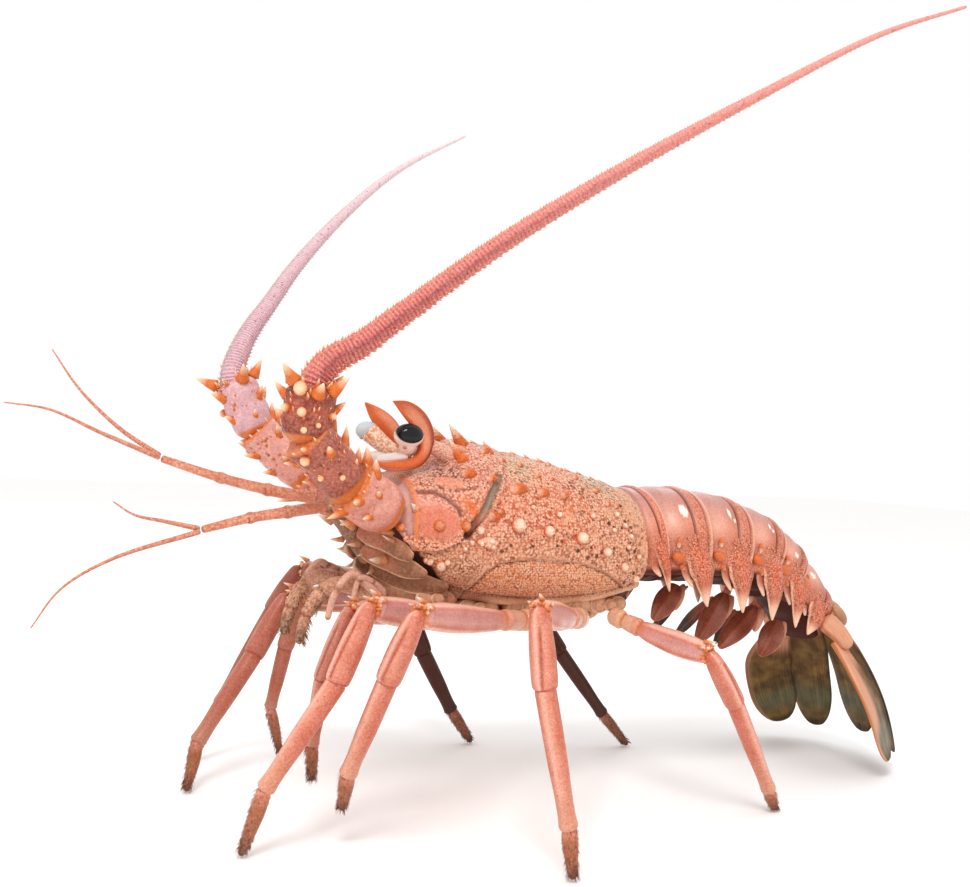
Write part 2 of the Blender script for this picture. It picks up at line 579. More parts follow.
# Round knobs on each side: x, height and radius.
SHELL_KNOBS = [(-61.3, 124.6, 2.1), (-46.2, 125.5, 2.9), (-39.6, 125.5, 1.5), (-34.3, 125.6, 2.5),
               (-27.7, 123.9, 2.0), (-9.9, 126.1, 3.4), (5.1, 123.8, 2.6), (21.8, 120.9, 2.9),
               (35.3, 114.7, 2.3), (45.6, 107.9, 2.1), (54.6, 102.1, 1.9), (54.4, 112.2, 1.3),
               (-1.9, 133.9, 1.2), (11.1, 130.9, 1.4), (28.9, 130.4, 1.4), (42.9, 131, 1.4),
               (39.8, 124.3, 1.2), (46.6, 126.3, 1.3), (49.5, 121.5, 1.3), (47.8, 116.7, 1.2),
               (-45.4, 108.7, 2.2), (-42, 110.2, 1.4), (-53.4, 110.9, 1.5), (-51, 110.4, 1.6),
               (-36, 112.8, 1.0), (-34.2, 115.9, 1.2), (-31.3, 118.5, 1.3)]
BACK_ROW = {"from": -18, "to": 50, "count": 11, "out": 7}
HEAP_BEADS, CHEEK_BEADS = 22, 190
CHEEK_FOOT = ([-60, -54, -46, -37], [118.5, 115.3, 115, 118.6])  # x and height of the cheek's lower edge
roots, tips, radii = [], [], []
knob_roots, knob_tips, knob_radii, knob_pale = [], [], [], []
scatter = np.random.default_rng(7)


def knob(side, x, z, radius, lies=0.0, pale=0.62):
    """A round knob on the shell's side, or a scale when it lies forwards by that half length."""
    root, outward = flank_place(side, x + lies, z, 0.0 if lies else -0.9 * radius)
    tip = root + outward * 2.1 * radius
    if lies:
        tip, _ = flank_place(side, x - lies, z - 0.2 * lies, 0.3 * radius)
    knob_roots.append(root), knob_tips.append(tip), knob_radii.append(radius), knob_pale.append(pale)


for side in SIDES.values():
    for x, z, tip_x, tip_z, radius in SHELL_THORNS:
        root, outward = flank_place(side, x, z, -0.6 * radius)
        tip, _ = flank_place(side, tip_x, min(tip_z, float(ridge(tip_x)) - 1), 1.9 * radius)
        tip[2] = max(tip[2], tip_z)
        roots.append(root), tips.append(tip), radii.append(radius)
    for x, z, length, radius in SHELL_SCALES:
        knob(side, x, z, 1.12 * radius, lies=1.2 * length, pale=0.72)
    for x, z, radius in SHELL_KNOBS:
        knob(side, x, z, radius, pale=0.55 if x < -34 and z > 124 else 0.88)
    # A cream heap of beads fills the corner under the furrow, and beads crowd along the cheek's foot.
    for i in range(HEAP_BEADS):
        x, z = -24 + scatter.normal(0, 2.1), 119.5 + scatter.normal(0, 2)
        knob(side, x, z, scatter.uniform(0.9, 1.9), pale=scatter.uniform(0.7, 1))
    for i in range(CHEEK_BEADS):
        x = scatter.uniform(-60.5, -36)
        z = np.interp(x, *CHEEK_FOOT) + 0.3 + abs(scatter.normal(0, 2.1))
        knob(side, x, z, scatter.uniform(0.4, 0.85), pale=0.7)
        knob_roots[-1] = knob_roots[-1] + (knob_tips[-1] - knob_roots[-1]) * 0.35
        knob_tips[-1] = knob_roots[-1] + (knob_tips[-1] - knob_roots[-1]) * 1.25
    for x in np.linspace(BACK_ROW["from"], BACK_ROW["to"], BACK_ROW["count"]):
        out = side * (BACK_ROW["out"] + scatter.uniform(-2.5, 2.5)) / 37
        root = shell_point(x, out, np.sqrt(1 - out * out)) - np.array([0, 0, 1.2])
        reach = scatter.uniform(2.6, 4.2)
        roots.append(root), tips.append(root + np.array([-0.75, 0, 0.8]) * reach)
        radii.append(scatter.uniform(1.1, 1.7))
shell_thorns = thorns("shell_thorns", roots, tips, radii, around=12, along=10, bow=(-0.4, 0, 0.5), pale=1.0)
shell_knobs = thorns("shell_knobs", knob_roots, knob_tips, knob_radii, KNOB, 12, 9,
                     pale=np.array(knob_pale))
carapace = joined(carapace, shell_thorns, shell_knobs)
carapace.name = "shell_of_head_and_body"

shell_chitin = chitin(
    "raw lobster shell", "#e39c80", "#d98a68",
    [("warm", "#e08560"), ("sand", "#d09a76"), ("tan", "#bb8864"), ("lilac", "#d6917f"),
     ("plum", "#9c6668"), ("panel", "#d68a5a"), ("pink", "#e49c8c"), ("lobe", "#db8a70"),
     ("cheek", "#d4795f"), ("rim", "#e6b08a"), ("moss", "#b3a684"), ("bloom", "#e2b3a4"),
     ("ember", "#d8621f"), ("furrow", "#8c7c6a"), ("skin", "#cf9f96"), ("lip", "#dd8049"),
     ("horn", "#cf6232"), ("blush", "#eaab8e"), ("dark", "#86301a"), ("crack", "#5a2614"),
     ("under", "#8f5d43")],
    pits=[(1.6, 0.54, "#934528", 0.8), (2.5, 1.25, "#591f0e", 0.9, "pocked"), (6, 1.1, "#5d2414", 0.8)],
    grains=(1.25, "#f3bd9c", 0.9), shine=(0.42, 0.1), relief=0.5, thorn=("#d4662c", "#ffe3c8"))
wear(carapace, shell_chitin)
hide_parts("carapace")

# ---------------------------------------------------------------- face between the antennae
# The hard brown plate in front of the mouth, with the jaws' pale teeth and the folded mouth plates
# below it. Unlike the back it is dull and hairy, and the soft parts between the plates are tan.

PLATE_FRONT, PLATE_BACK = -84, SHELL_FRONT - 2


def face_rule(t, a, b):
    share = np.clip((t - 0.06) / 0.88, 0, 1)
    closing = np.sqrt(1 - (1 - np.clip(np.minimum(t, 1 - t) / 0.06, 0, 1)) ** 2)
    x = PLATE_FRONT + (PLATE_BACK - PLATE_FRONT) * share
    top, bottom = 135 + 4 * share, 127 - 21 * share**1.15
    half = 7 + 5 * share
    ribs = 1 + 0.05 * np.sin(share * 26) * smooth(0.3, -0.6, b)
    out = half * power(a, 0.8) * closing * ribs
    z = (top + bottom) / 2 + (top - bottom) / 2 * power(b, 0.8) * closing
    return stack(x, out, z), {"jaw": smooth(0.2, -0.5, b), "plain": 0.4}


face = moulded("mouth_plate", 72, 60, face_rule)
roots, tips, radii = [], [], []
MOUTH_TEETH = [(-83, 5, 128, -91, 5, 129, 1.6), (-76, 14, 123, -84, 15, 125.3, 2.1),
               (-72, 10, 116, -79, 12, 114.5, 1.7), (-62.5, 18, 109.8, -71.5, 19, 108.8, 3.0),
               (-62, 24, 121.6, -74, 25.5, 122.6, 1.6), (-66, 12, 105, -70.5, 14, 102, 1.3),
               (-61.5, 24, 118, -68.5, 25.5, 119.8, 1.2), (-70, 12, 112, -75, 14, 110, 1.2)]
MOUTH_FOLDS = [[(-74, 11, 121.5), (-67, 17, 118.6), (-61.5, 24, 115.5), (-55.5, 29, 111.4)],
               [(-71.6, 10, 113.5), (-64.3, 17, 109.6), (-57.5, 23, 107.2), (-48.6, 29, 104.4)],
               [(-67.3, 10, 106), (-58.2, 17, 101.4), (-48.7, 23, 100), (-38, 28, 99.2)],
               [(-64.2, 12, 98.2), (-56, 18, 95), (-46.1, 22, 94.8), (-37, 26, 95.8)]]
for side in SIDES.values():
    for x, out, z, tip_x, tip_out, tip_z, radius in MOUTH_TEETH:
        roots.append((x, side * out, z)), tips.append((tip_x, side * tip_out, tip_z))
        radii.append(radius)
    # Folded plates wrap the mouth from below, each in front of the last.
    for row, fold in enumerate(MOUTH_FOLDS):
        def fold_section(t, a, b):
            breadth = (4.4 + 0.6 * np.sin(9 * t + row)) * np.sin(np.pi * (0.14 + 0.76 * t)) ** 0.8
            return a * breadth, b * (1.5 - 0.5 * a)

        flap = tube("mouth_fold", mirrored(side, fold), fold_section, 28, 44, broad=(0.5, side * 0.3, 1),
                    marks=lambda t, a, b: {
                        "jaw": 0.8 * smooth(0.75, -0.3, a), "edge": smooth(0.75, 0.95, np.abs(a)),
                        "blush": 0.6 * smooth(0.7, 0.4, t) * (row < 2), "plain": 0.6})
        face = joined(face, flap)
face = joined(face, thorns("mouth_teeth", roots, tips, radii, around=10, along=8, bow=(0, 0, 1.2)))
face_chitin = chitin("dull mouth chitin", "#c08a68", "#a06a48",
                     [("jaw", "#7f5238"), ("blush", "#cf7f66"), ("edge", "#e6bd9c")],
                     pits=[(2.2, 0.66, "#5d3222", 0.6)], grains=(1.4, "#e2b896", 0.4), shine=(0.5, 0.05),
                     thorn=("#cc8a5c", "#fbeed6"))
wear(face, face_chitin)
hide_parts("face_plate")

# ---------------------------------------------------------------- eyes
# A black glossy ball, an oval cap of horny skin, on a short pale stalk that turns in the orbit. The far
# eye is seen from behind: a granular orange stalk and the grey rim of the ball round it.

EYES = {"left": [(-54.6, 7, 152), (-54, 12, 157), (-54.4, 16, 163)],
        "right": [(-50, 6, 154), (-55.5, 11, 158.5), (-61.5, 16.5, 164.5)]}
EYE_SOCKET = [(-69, 13, 151.5), (-62, 12.5, 152.4), (-54, 11, 153.5)]
EYE_LENGTH, EYE_DEPTH, EYE_HEIGHT = 6.7, 4.8, 5.2
EYE_BEADS = 40

eye_skin, tree, skin, place = fresh_material("wet eye cap and stalk skin")
speck = noise(tree, place, 1.1, 3)
colour = over(tree, ranged(tree, speck, 0.42, 0.6), linear("#c9824f"), linear("#e9cdb4"))
black = share_of(tree, "cap")
for zone, paint in (("bead", "#d3752f"), ("collar", "#efd9d0"), ("glassy", "#b9c0c2")):
    colour = over(tree, share_of(tree, zone), colour, linear(paint))
colour = over(tree, black, colour, linear("#0d0e12"))
surface(tree, skin, colour, speck, 0.5, 0.25)
tree.links.new(ranged(tree, black, 0, 1, 0.42, 0.08), skin.inputs["Roughness"])
skin.inputs["Specular IOR Level"].default_value = 0.18
skin.inputs["Coat Weight"].default_value = 0.25
skin.inputs["Coat Roughness"].default_value = 0.06

for side_name, side in SIDES.items():
    foot, bend, middle = np.array(mirrored(side, EYES[side_name]))
    near = side_name == "left"

    def ball_rule(t, a, b):
        # The pole t = 1 points out of the socket, where the black cap sits.
        across = np.sqrt(np.clip(1 - (2 * t - 1) ** 2, 0, 1))
        outer = 2 * t - 1
        size = 1 if near else 0.82
        places = middle + stack(a * across * EYE_LENGTH, side * outer * EYE_DEPTH,
                                b * across * EYE_HEIGHT) * size
        from_middle = np.hypot((a * across + 0.03) * 1.06, (b * across - 0.18) * 1.2)
        cap = smooth(1.03, 0.95, from_middle) * smooth(-0.2, 0, outer)
        collar = smooth(0.5, -0.3, b * across) if near else 0.0
        return places, {"cap": cap if near else cap * smooth(0.3, 0.5, outer),
                        "collar": 0.4 + 0.6 * collar if near else 0.0,
                        "glassy": 0.0 if near else 1.0}

    ball = moulded("eye_ball", 56, 48, ball_rule)
    stalk = tube("eye_stalk", [foot, bend, middle - (bend - foot) * 0.1],
                 lambda t, a, b: (a * (3.2 + 1.5 * t), b * (3.2 + 1.4 * t)), 32, 24, broad=(1, 0, 0),
                 marks=lambda t, a, b: {"collar": smooth(0.4, 0.8, t) if near else 0.1})
    socket = tube("eye_socket_skin", mirrored(side, EYE_SOCKET), lambda t, a, b: (a * 4.2, b * 2.6),
                  24, 20, marks=lambda t, a, b: {"collar": 0.9, "glassy": 0.35})
    # Beads of skin cover the stalk, and the inner side of the ball.
    inward = unit(scatter.normal(size=(EYE_BEADS, 3)) - np.array([0, side * 1.1, 0]))
    share = scatter.uniform(0.1, 0.9, (EYE_BEADS, 1))
    lump_roots = bend + (middle - bend) * share + inward * np.array([4.2, 3.4, 3.4]) * (0.5 + 0.45 * share)
    if near:
        lump_roots[:, 2] = np.minimum(lump_roots[:, 2], middle[2] - 4.6)
    radii = scatter.uniform(0.6, 1.1, EYE_BEADS)
    beads = thorns("eye_beads", lump_roots, lump_roots + inward * 1.9, radii, KNOB, 8, 6)
    orange = scatter.uniform(0.1, 1, EYE_BEADS) ** 0.4
    mark(beads, {"bead": np.repeat(orange, len(beads.data.vertices) // EYE_BEADS)})
    eye = joined(ball, stalk, socket, beads)
    eye.name = f"eye_on_its_stalk_{side_name}"
    wear(eye, eye_skin)
    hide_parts(f"eye_{side_name}")

# ---------------------------------------------------------------- antennae
# Three heavy thorny segments, one nested in the rim of the last, and a long stiff whip of close rings
# with rows of small thorns. The left one is brown-red, the right one faded to a milky lilac pink.

# The joints of each antenna from the head outwards, and the run of its whip.
ANTENNAE = {
    "left": [[(-67.5, 24.5, 131.5), (-85.5, 30.4, 141.5), (-105.5, 34, 161), (-104.5, 35.5, 183)],
             [(-105, 35.4, 176), (-103.2, 35.6, 183), (-97.5, 36, 191), (-86, 38, 198.3), (-70.5, 40, 211),
              (-30.5, 48, 243.5), (20.6, 57, 279.5), (86, 66, 321), (148, 74, 358), (196, 80, 379)]],
    "right": [[(-67.5, 24.5, 131.5), (-86.5, 29, 142.5), (-108.5, 33, 162.5), (-119, 36, 186)],
              [(-118.5, 36.2, 181), (-118.8, 37.4, 188), (-116.6, 40, 195), (-110, 47, 207), (-98, 60, 222),
               (-78, 80, 247), (-43, 110, 283), (-4, 140, 316), (57, 185, 355)]],
}
# Each segment's radius at its root and at its rim, and its thorns: the share of the length where one
# stands, its turn round the segment in degrees from the outer side over the back, its length, its radius.
SEGMENTS = {
    "base": (11.6, 11.2, [(0.47, -40, 6, 2.2), (0.43, -97, 6, 2.2), (0.9, -25, 7, 2.4), (0.6, 10, 5, 2),
                          (0.75, 56, 8, 2.8), (0.85, 80, 9, 3), (0.85, -75, 9, 2.2), (0.7, 130, 5, 2),
                          (0.8, 180, 5, 2)]),
    "middle": (9.8, 10.2, [(0.83, -51, 2.2, 2.2), (0.48, -51, 1.2, 1.4),
                           (0.3, -12, 1, 1.3), (0.66, 4, 5.5, 2.3), (0.8, 80, 8, 2.3), (0.5, 80, 7, 2.2),
                           (0.16, 78, 6.5, 2), (0.22, 44, 3, 1.5), (0.93, 100, 7, 2.2),
                           (0.93, -35, 3.5, 1.8), (0.7, -110, 6, 2.1), (0.35, -105, 5, 1.9),
                           (0.7, 150, 5, 2), (0.35, 190, 4, 1.8)]),
    "top": (10.2, 10.2, [(0.93, -62, 9, 2.8), (0.84, -40, 1.6, 3), (0.74, 2, 6, 2.9), (0.8, 44, 9, 3),
                         (0.47, -72, 2.2, 1.8), (0.43, -31, 1.7, 2), (0.12, -23, 1.3, 1.6),
                         (0.22, 8, 1, 1.2), (0.4, 42, 2, 1.5), (0.66, -104, 6.5, 2.3), (0.27, -104, 4, 2.1),
                         (0.45, 75, 6, 2.2), (0.85, 110, 8, 2.6), (0.85, 170, 8, 2.7), (0.5, 140, 5, 2),
                         (0.2, 175, 3.5, 1.8)]),
}
ANTENNA_SHADES = {
    "left": {"base": ("#e2a292", "#cf8676"), "middle": ("#b2604f", "#934a38"),
             "top": ("#a34c38", "#833524")},
    "right": {"base": ("#e0a294", "#d38b7c"), "middle": ("#e6aea4", "#da988a"),
              "top": ("#dcb6bb", "#cfa0a6")},
}
# Each whip's ground and mottling, then its zones' colours, then its thorns' at root and tip.
WHIP_ZONES = ("ring", "seam", "edge", "far")
WHIP_SHADES = {
    "left": ("#b9504c", "#a8403d", "#d67f76", "#8a3438", "#d98468", "#e3968c", "#dd7f5c", "#f6bc96"),
    "right": ("#c39aa6", "#b5889a", "#d8b8c0", "#96687c", "#bba2a6", "#e6d2d8", "#d0b0a8", "#efe0dc"),
}

for side_name, side in SIDES.items():
    joints, whip_run = (np.array(mirrored(side, line)) for line in ANTENNAE[side_name])
    slim = 1 if side < 0 else 0.88
    for i, (segment, (root_radius, rim_radius, spikes)) in enumerate(SEGMENTS.items()):
        way = joints[i + 1] - joints[i]
        length = np.linalg.norm(way)
        way = way / length
        last = segment == "top"
        start, end = joints[i] - way * 4, joints[i + 1] + way * (0.2 if not last else -0.8)
        swell = through((0, 0.78), (0.12, 0.86), (0.22, 0.95), (0.6, 1),
                        (0.86, 1.0), (0.94, 1.04), (1, 0.97))

        def girth(t):
            return slim * swell(t) * (root_radius + (rim_radius - root_radius) * t)

        def lumpy(t, a, b):
            return girth(t) * (1 + 0.035 * np.sin(9 * t + 4 * a + i) * np.sin(5 * b + 7 * t)
                               + 0.02 * np.sin(23 * t + 9 * a))

        shaft = tube("segment", [start, (start + end) / 2, end],
                     lambda t, a, b: (a * lumpy(t, a, b), b * lumpy(t, a, b)), 72, 72,
                     broad=(0, side, 0), cap=5.5 if last else 1.6,
                     marks=lambda t, a, b: {"rim": 0.9 * smooth(0.92, 0.96, t) * (0.5 if last else 1),
                                            "deep": smooth(0.5, 0.15, t),
                                            "joint": smooth(0.21, 0.15, t), "plain": smooth(0.21, 0.15, t)})
        across = crosswise(np.array([0, side, 0]), way)
        up = np.cross(way, across) * -side

        def round_the_shaft(turn):
            return across * np.cos(turn) + up * np.sin(turn)

        roots, tips, radii, knob_roots, knob_tips, knob_radii = [], [], [], [], [], []
        for share, turn, reach, radius in spikes:
            outward = round_the_shaft(np.radians(turn + scatter.uniform(-4, 4) * (side > 0)))
            at = joints[i] + way * length * share
            at = at + outward * girth(share) * 0.84
            if reach < 3:
                knob_roots.append(at), knob_tips.append(at + outward * (reach + 2.2))
                knob_radii.append(radius)
            else:
                tips.append(at + outward * (0.75 * reach + 1.2) + way * 0.72 * reach)
                roots.append(at), radii.append(1.15 * radius)
        # A crown of small thorns stands round the rim, and grains between the thorns.
        for turn in np.radians(np.arange(0, 360, 36) + scatter.uniform(-8, 8, 10)):
            outward = round_the_shaft(turn)
            root = joints[i + 1] - way * 2.2 + outward * rim_radius * slim * 0.88
            roots.append(root), tips.append(root + outward * 1.6 + way * scatter.uniform(1.6, 3))
            radii.append(1.2)
        for share, turn in zip(scatter.uniform(0.25, 0.9, 46), scatter.uniform(0, 2 * np.pi, 46)):
            outward = round_the_shaft(turn)
            at = joints[i] + way * length * share + outward * girth(share) * 0.93
            size = scatter.uniform(0.4, 0.9)
            roots.append(at), tips.append(at + outward * 1.9 * size + way * 1.4 * size)
            radii.append(size)
        parts = [thorns("segment_thorns", roots, tips, radii, around=12,
                        along=10, bow=tuple(way * 0.9), pale=0.9)]
        if knob_roots:
            parts.append(thorns("segment_knobs", knob_roots, knob_tips, knob_radii,
                                profile=KNOB, pale=0.8, around=14, along=10))
        shaft = joined(shaft, *parts)
        shaft.name = f"antenna_segment_{segment}_{side_name}"
        ground, mottle = ANTENNA_SHADES[side_name][segment]
        skin = chitin(f"antenna chitin {segment} {side_name}", ground, mottle,
                      [("deep", mottle), ("joint", "#d0743c"), ("rim", "#d2743a")],
                      pits=[(3.6, 1.0, "#5d1f16", 0.8 if segment != "base" else 0.3)],
                      grains=(1.3, "#eab29a", 0.22), shine=(0.36, 0.12), thorn=("#d46e30", "#ffe2bc"))
        wear(shaft, skin)
        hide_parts(f"antenna_{segment}_{side_name}")

    # The whip: rings two millimetres apart at the root, closer towards the tip.
    line = centreline(whip_run)

    def whip_radius(t):
        return slim * (0.75 + 4.4 * (1 - t) ** 1.05 + 1.5 * np.exp(-t / 0.05))

    def ring_wave(t):
        return np.sin(2 * np.pi * 170 * (1 - (1 - t) ** 1.25))

    whip = tube("whip", whip_run, round_by(lambda t: whip_radius(t) * (1 + 0.035 * ring_wave(t))),
                20, 1500, broad=(0, side, 0), cap=1.5,
                marks=lambda t, a, b: {"ring": 0.5 + 0.5 * ring_wave(t),
                                       "seam": hill(b - 0.1, 0.2) * (a > 0),
                                       "far": smooth(0.05, 0.9, t), "edge": smooth(0.75, 1, np.abs(b))})
    roots, tips, radii = [], [], []
    for row, turn in enumerate(np.radians([82, 98, 262, 278, 40, 320, 180])):
        shares = np.linspace(0.012, 0.93, 118) + 0.003 * (row % 2)
        place, way = line(shares)
        across = crosswise(np.array([0, side, 0]), way)
        outward = across * np.cos(turn) + np.cross(way, across) * np.sin(turn)
        radius = whip_radius(shares)[:, None]
        size = radius * scatter.uniform(0.75, 1.15, (len(shares), 1))
        low = 0.45 if row > 3 else 1.0
        roots.extend(place + outward * radius * 0.85)
        tips.extend(place + outward * (radius * 0.95 + size * 0.28 * low) + way * size * 0.3)
        radii.extend(size[:, 0] * 0.14)
    whip = joined(whip, thorns("whip_thorns", roots, tips, radii, around=6, along=4))
    whip.name = f"antenna_whip_ringed_{side_name}"
    ground, mottle, *paints, thorn_root, thorn_tip = WHIP_SHADES[side_name]
    skin = chitin(f"antenna whip chitin {side_name}", ground, mottle, [*zip(WHIP_ZONES, paints)],
                  pits=[(2.4, 0.72, "#83363c", 0.5)], grains=(1.0, "#efb4a8", 0.25), shine=(0.38, 0.1),
                  thorn=(thorn_root, thorn_tip))
    wear(whip, skin)
    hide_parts(f"antenna_whip_{side_name}")

# ---------------------------------------------------------------- antennules
# Thin jointed stems under the antennae that each end in two feelers. Their skin is smooth and salmon,
# darker at the joints, and the feelers are so thin that light comes through.

ANTENNULES = {
    "left": {"stem": [(-87, 6, 131.5), (-103, 8, 129), (-119, 9, 126.5), (-140, 11, 121.5)],
             "outer": [(-140.5, 11.5, 120.9), (-175, 14, 110), (-193, 16, 99), (-203, 18, 85)],
             "inner": [(-140.5, 10.2, 121.8), (-154, 9, 124.5), (-166, 8, 127), (-174, 7, 132)]},
    "right": {"stem": [(-87, 6, 134), (-105, 8, 136.5), (-128, 10, 141.5), (-153, 12, 149)],
              "outer": [(-153.5, 11.4, 149.2), (-177, 12, 158.5), (-197, 13, 167), (-214, 14, 169)],
              "inner": [(-153.2, 12.8, 150), (-169, 18, 160.5), (-185, 22, 176), (-196, 26, 192)]},
}
STEM_JOINTS = (0.32, 0.62)
stem_chitin = chitin("smooth limb chitin", "#df9576", "#cf7f60",
                     [("joint", "#93452c"), ("deep", "#bd6c4c")],
                     pits=[(3, 0.9, "#b0624a", 0.3)], grains=(1.2, "#f2c4ae", 0.35), shine=(0.35, 0.12))
for side_name, side in SIDES.items():
    def stem_rings(t, behind, width):
        return sum(hill(t - joint - behind, width) for joint in STEM_JOINTS)

    parts = ANTENNULES[side_name]
    stem = tube("antennule_stem", mirrored(side, parts["stem"]),
                round_by(lambda t: 2.75 - 1.2 * t + 0.55 * stem_rings(t, 0, 0.022)), 24, 110,
                marks=lambda t, a, b: {"joint": stem_rings(t, 0.02, 0.008) + smooth(0.985, 1, t),
                                       "deep": 0.7 * smooth(0.1, -0.9, b)})
    stem.name = f"antennule_stem_jointed_{side_name}"
    wear(stem, stem_chitin)
    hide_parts(f"antennule_stem_{side_name}")
    for feeler in ("outer", "inner"):
        count = 90 if feeler == "outer" else 50

        def waves(t):
            return np.sin(2 * np.pi * count * t)

        thread = tube("feeler", mirrored(side, parts[feeler]),
                      round_by(lambda t: (1.15 - 0.9 * t) * (1 + 0.05 * waves(t))),
                      10, 500, marks=lambda t, a, b: {"joint": 0.35 * (0.5 + 0.5 * waves(t)), "deep": 0.3})
        thread.name = f"antennule_feeler_{feeler}_{side_name}"
        wear(thread, stem_chitin)
        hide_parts(f"antennule_{feeler}_{side_name}")

# ---------------------------------------------------------------- maxillipeds
# The feeding legs folded under the mouth: flat tan segments with darker joints, whose last ones are
# brushes of brown bristles.

MAXILLIPED = [(-61, 13, 94), (-72, 13, 97), (-83, 13, 99), (-91, 12.5, 94), (-96, 12, 84), (-98, 11.5, 74)]
MAXILLIPED_JOINTS = (0.22, 0.52, 0.74)
MAXILLIPED_BRISTLES = 260
PALP = [(-66, 20, 94.5), (-71.3, 22, 98.6), (-79.4, 22, 104.5), (-86.6, 22, 96.3), (-89.5, 22, 85.5)]
INNER_PALP = [(-64, 20, 96), (-69.8, 22, 100.7), (-76.7, 24, 103), (-79.5, 24, 93.9)]
brush_chitin = chitin("tan hairy limb chitin", "#cf9a7e", "#b67f63",
                      [("pale", "#dcaa96"), ("joint", "#8f4c26"), ("brown", "#6d4630")],
                      pits=[(2.2, 0.66, "#7b4a34", 0.5)], grains=(1.2, "#eac2a4", 0.4), shine=(0.5, 0.05),
                      thorn=("#8a5a3a", "#c49a70"))
for side_name, side in SIDES.items():
    run = mirrored(side, MAXILLIPED)

    def at_joints(t, behind, width):
        return sum(hill(t - joint - behind, width) for joint in MAXILLIPED_JOINTS)

    def leg_radius(t):
        return (1.7 + 2.5 * (1 - t) ** 0.8) * (1 + 0.12 * at_joints(t, 0, 0.018)
                                               - 0.18 * at_joints(t, 0.035, 0.014))

    leg = tube("maxilliped", run, round_by(leg_radius), 24, 120, cap=2,
               marks=lambda t, a, b: {"joint": at_joints(t, 0.03, 0.014), "brown": smooth(0.78, 0.95, t)})
    shares = scatter.uniform(0.5, 0.99, MAXILLIPED_BRISTLES)
    place, way = centreline(run)(shares)
    outward = crosswise(scatter.normal(size=(MAXILLIPED_BRISTLES, 3)) + np.array([0.8, 0, -0.3]), way)
    roots = place + outward * leg_radius(shares)[:, None] * 0.8
    tips = roots + (outward * 0.8 + way * 0.8) * scatter.uniform(1.5, 4, (MAXILLIPED_BRISTLES, 1))
    for run, thick in ((PALP, 1.9), (INNER_PALP, 1.5)):
        palp = tube("palp", mirrored(side, run),
                    lambda t, a, b: (a * thick * (1.15 - 0.4 * t)
                                     * (1 - 0.3 * hill(np.sin(3 * np.pi * t), 0.3)),
                                     b * thick * (1 - 0.35 * t)),
                    18, 90, cap=1.5,
                    marks=lambda t, a, b: {"joint": 0.9 * hill(np.sin(3 * np.pi * t), 0.25) * (t > 0.1),
                                           "pale": 0.7, "plain": 0.5})
        leg = joined(leg, palp)
    leg = joined(leg, thorns("maxilliped_bristles", roots, tips, 0.16, profile=HAIR, around=3, along=3))
    leg.name = f"maxilliped_feeding_leg_{side_name}"
    wear(leg, brush_chitin)
    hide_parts(f"maxilliped_{side_name}")

# ---------------------------------------------------------------- thorax
# The pale breast under the shell: soft tan skin over the gill chamber with the round hip sockets of
# the legs along each side, which show between the shell's rim and the legs.

THORAX_HALF = 24
thorax_low, thorax_high = (np.array(corner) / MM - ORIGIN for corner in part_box("thorax"))
breast_depth = through((-60, 7), (-48, 9), (-40, 10), (0, 13), (40, 12), (62, 8))
LEG_ROOTS = [(-40, 89), (-20, 84), (4, 84), (28, 84), (47, 84)]


def thorax_rule(t, a, b):
    x = thorax_low[0] + (thorax_high[0] - thorax_low[0]) * t
    roof = margin(x) - 1.2
    half = breast_depth(x) / 2
    out = THORAX_HALF * np.sin(np.pi * t) ** 0.3 * power(a, 0.7)
    z = roof - half + half * power(b, 0.7) * np.minimum(1, 8 * np.minimum(t, 1 - t))
    return stack(x, out, z), {"fold": smooth(0.5, 1, np.sin(x * 0.55)), "plain": 0.3}


thorax = moulded("breast", 80, 120, thorax_rule)
for side in SIDES.values():
    for i, (x, z) in enumerate(LEG_ROOTS):
        for shift, reach, size in ((-6.5, 25, 5.0), (-1.5, 27, 3.6), (4.5, 24, 4.6)):
            socket = tube("hip_socket",
                          [(x + shift, side * (reach - 12), z + 4.5),
                           (x + shift + 0.5, side * reach, z + 5)],
                          round_by(lambda t: size * (1 - 0.28 * hill(t - 0.7, 0.06)), 0.8),
                          32, 40, broad=(1, 0.25 * side, 0), cap=2.4,
                          marks=lambda t, a, b: {"fold": 0.9 * hill(t - 0.7, 0.05)
                                                 + 0.5 * hill(t - 0.93, 0.03),
                                                 "cream": hill(t - 0.82, 0.06),
                                                 "plain": 0.6})
            thorax = joined(thorax, socket)
thorax.name = "breast_and_hip_sockets"
breast_skin = chitin("tan breast skin", "#dfae8c", "#cd9270", [("cream", "#efc6a4"), ("fold", "#8a4f30")],
                     pits=[(2.4, 0.72, "#6d3d28", 0.7)], grains=(1.4, "#ecc4a2", 0.6), shine=(0.45, 0.08))
wear(thorax, breast_skin)
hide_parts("thorax")

# ---------------------------------------------------------------- tail rings
# Six smooth pink-salmon rings that ride over each other, each with a hairy furrow across it, a fine
# grained band behind that, and on both sides a hinge knob and a plate that ends in a pale spike.

TAIL_RINGS = [13, 29, 30, 27, 22, 37]
JOINT_GAP = 0.5
BACK = [(60.6, 142.4), (90, 143.2), (120, 139.6), (147.5, 130.8), (170.5, 114.8), (188, 95.5), (203, 76)]
SPIKES = [(74.6, 95.3), (95.7, 87.8), (117.4, 84.3), (136.8, 79.9), (153.8, 75.4), (166.5, 70.5)]
RING_WAIST = 0.7
back_line = centreline([(x, 0, z) for x, z in BACK])
ring_half_width = through((0, 29), (20, 31), (50, 31), (80, 30), (105, 28), (125, 25), (158, 19))
ring_depth = through((0, 42), (20, 43), (50, 42), (80, 38), (105, 33), (125, 29), (158, 21))
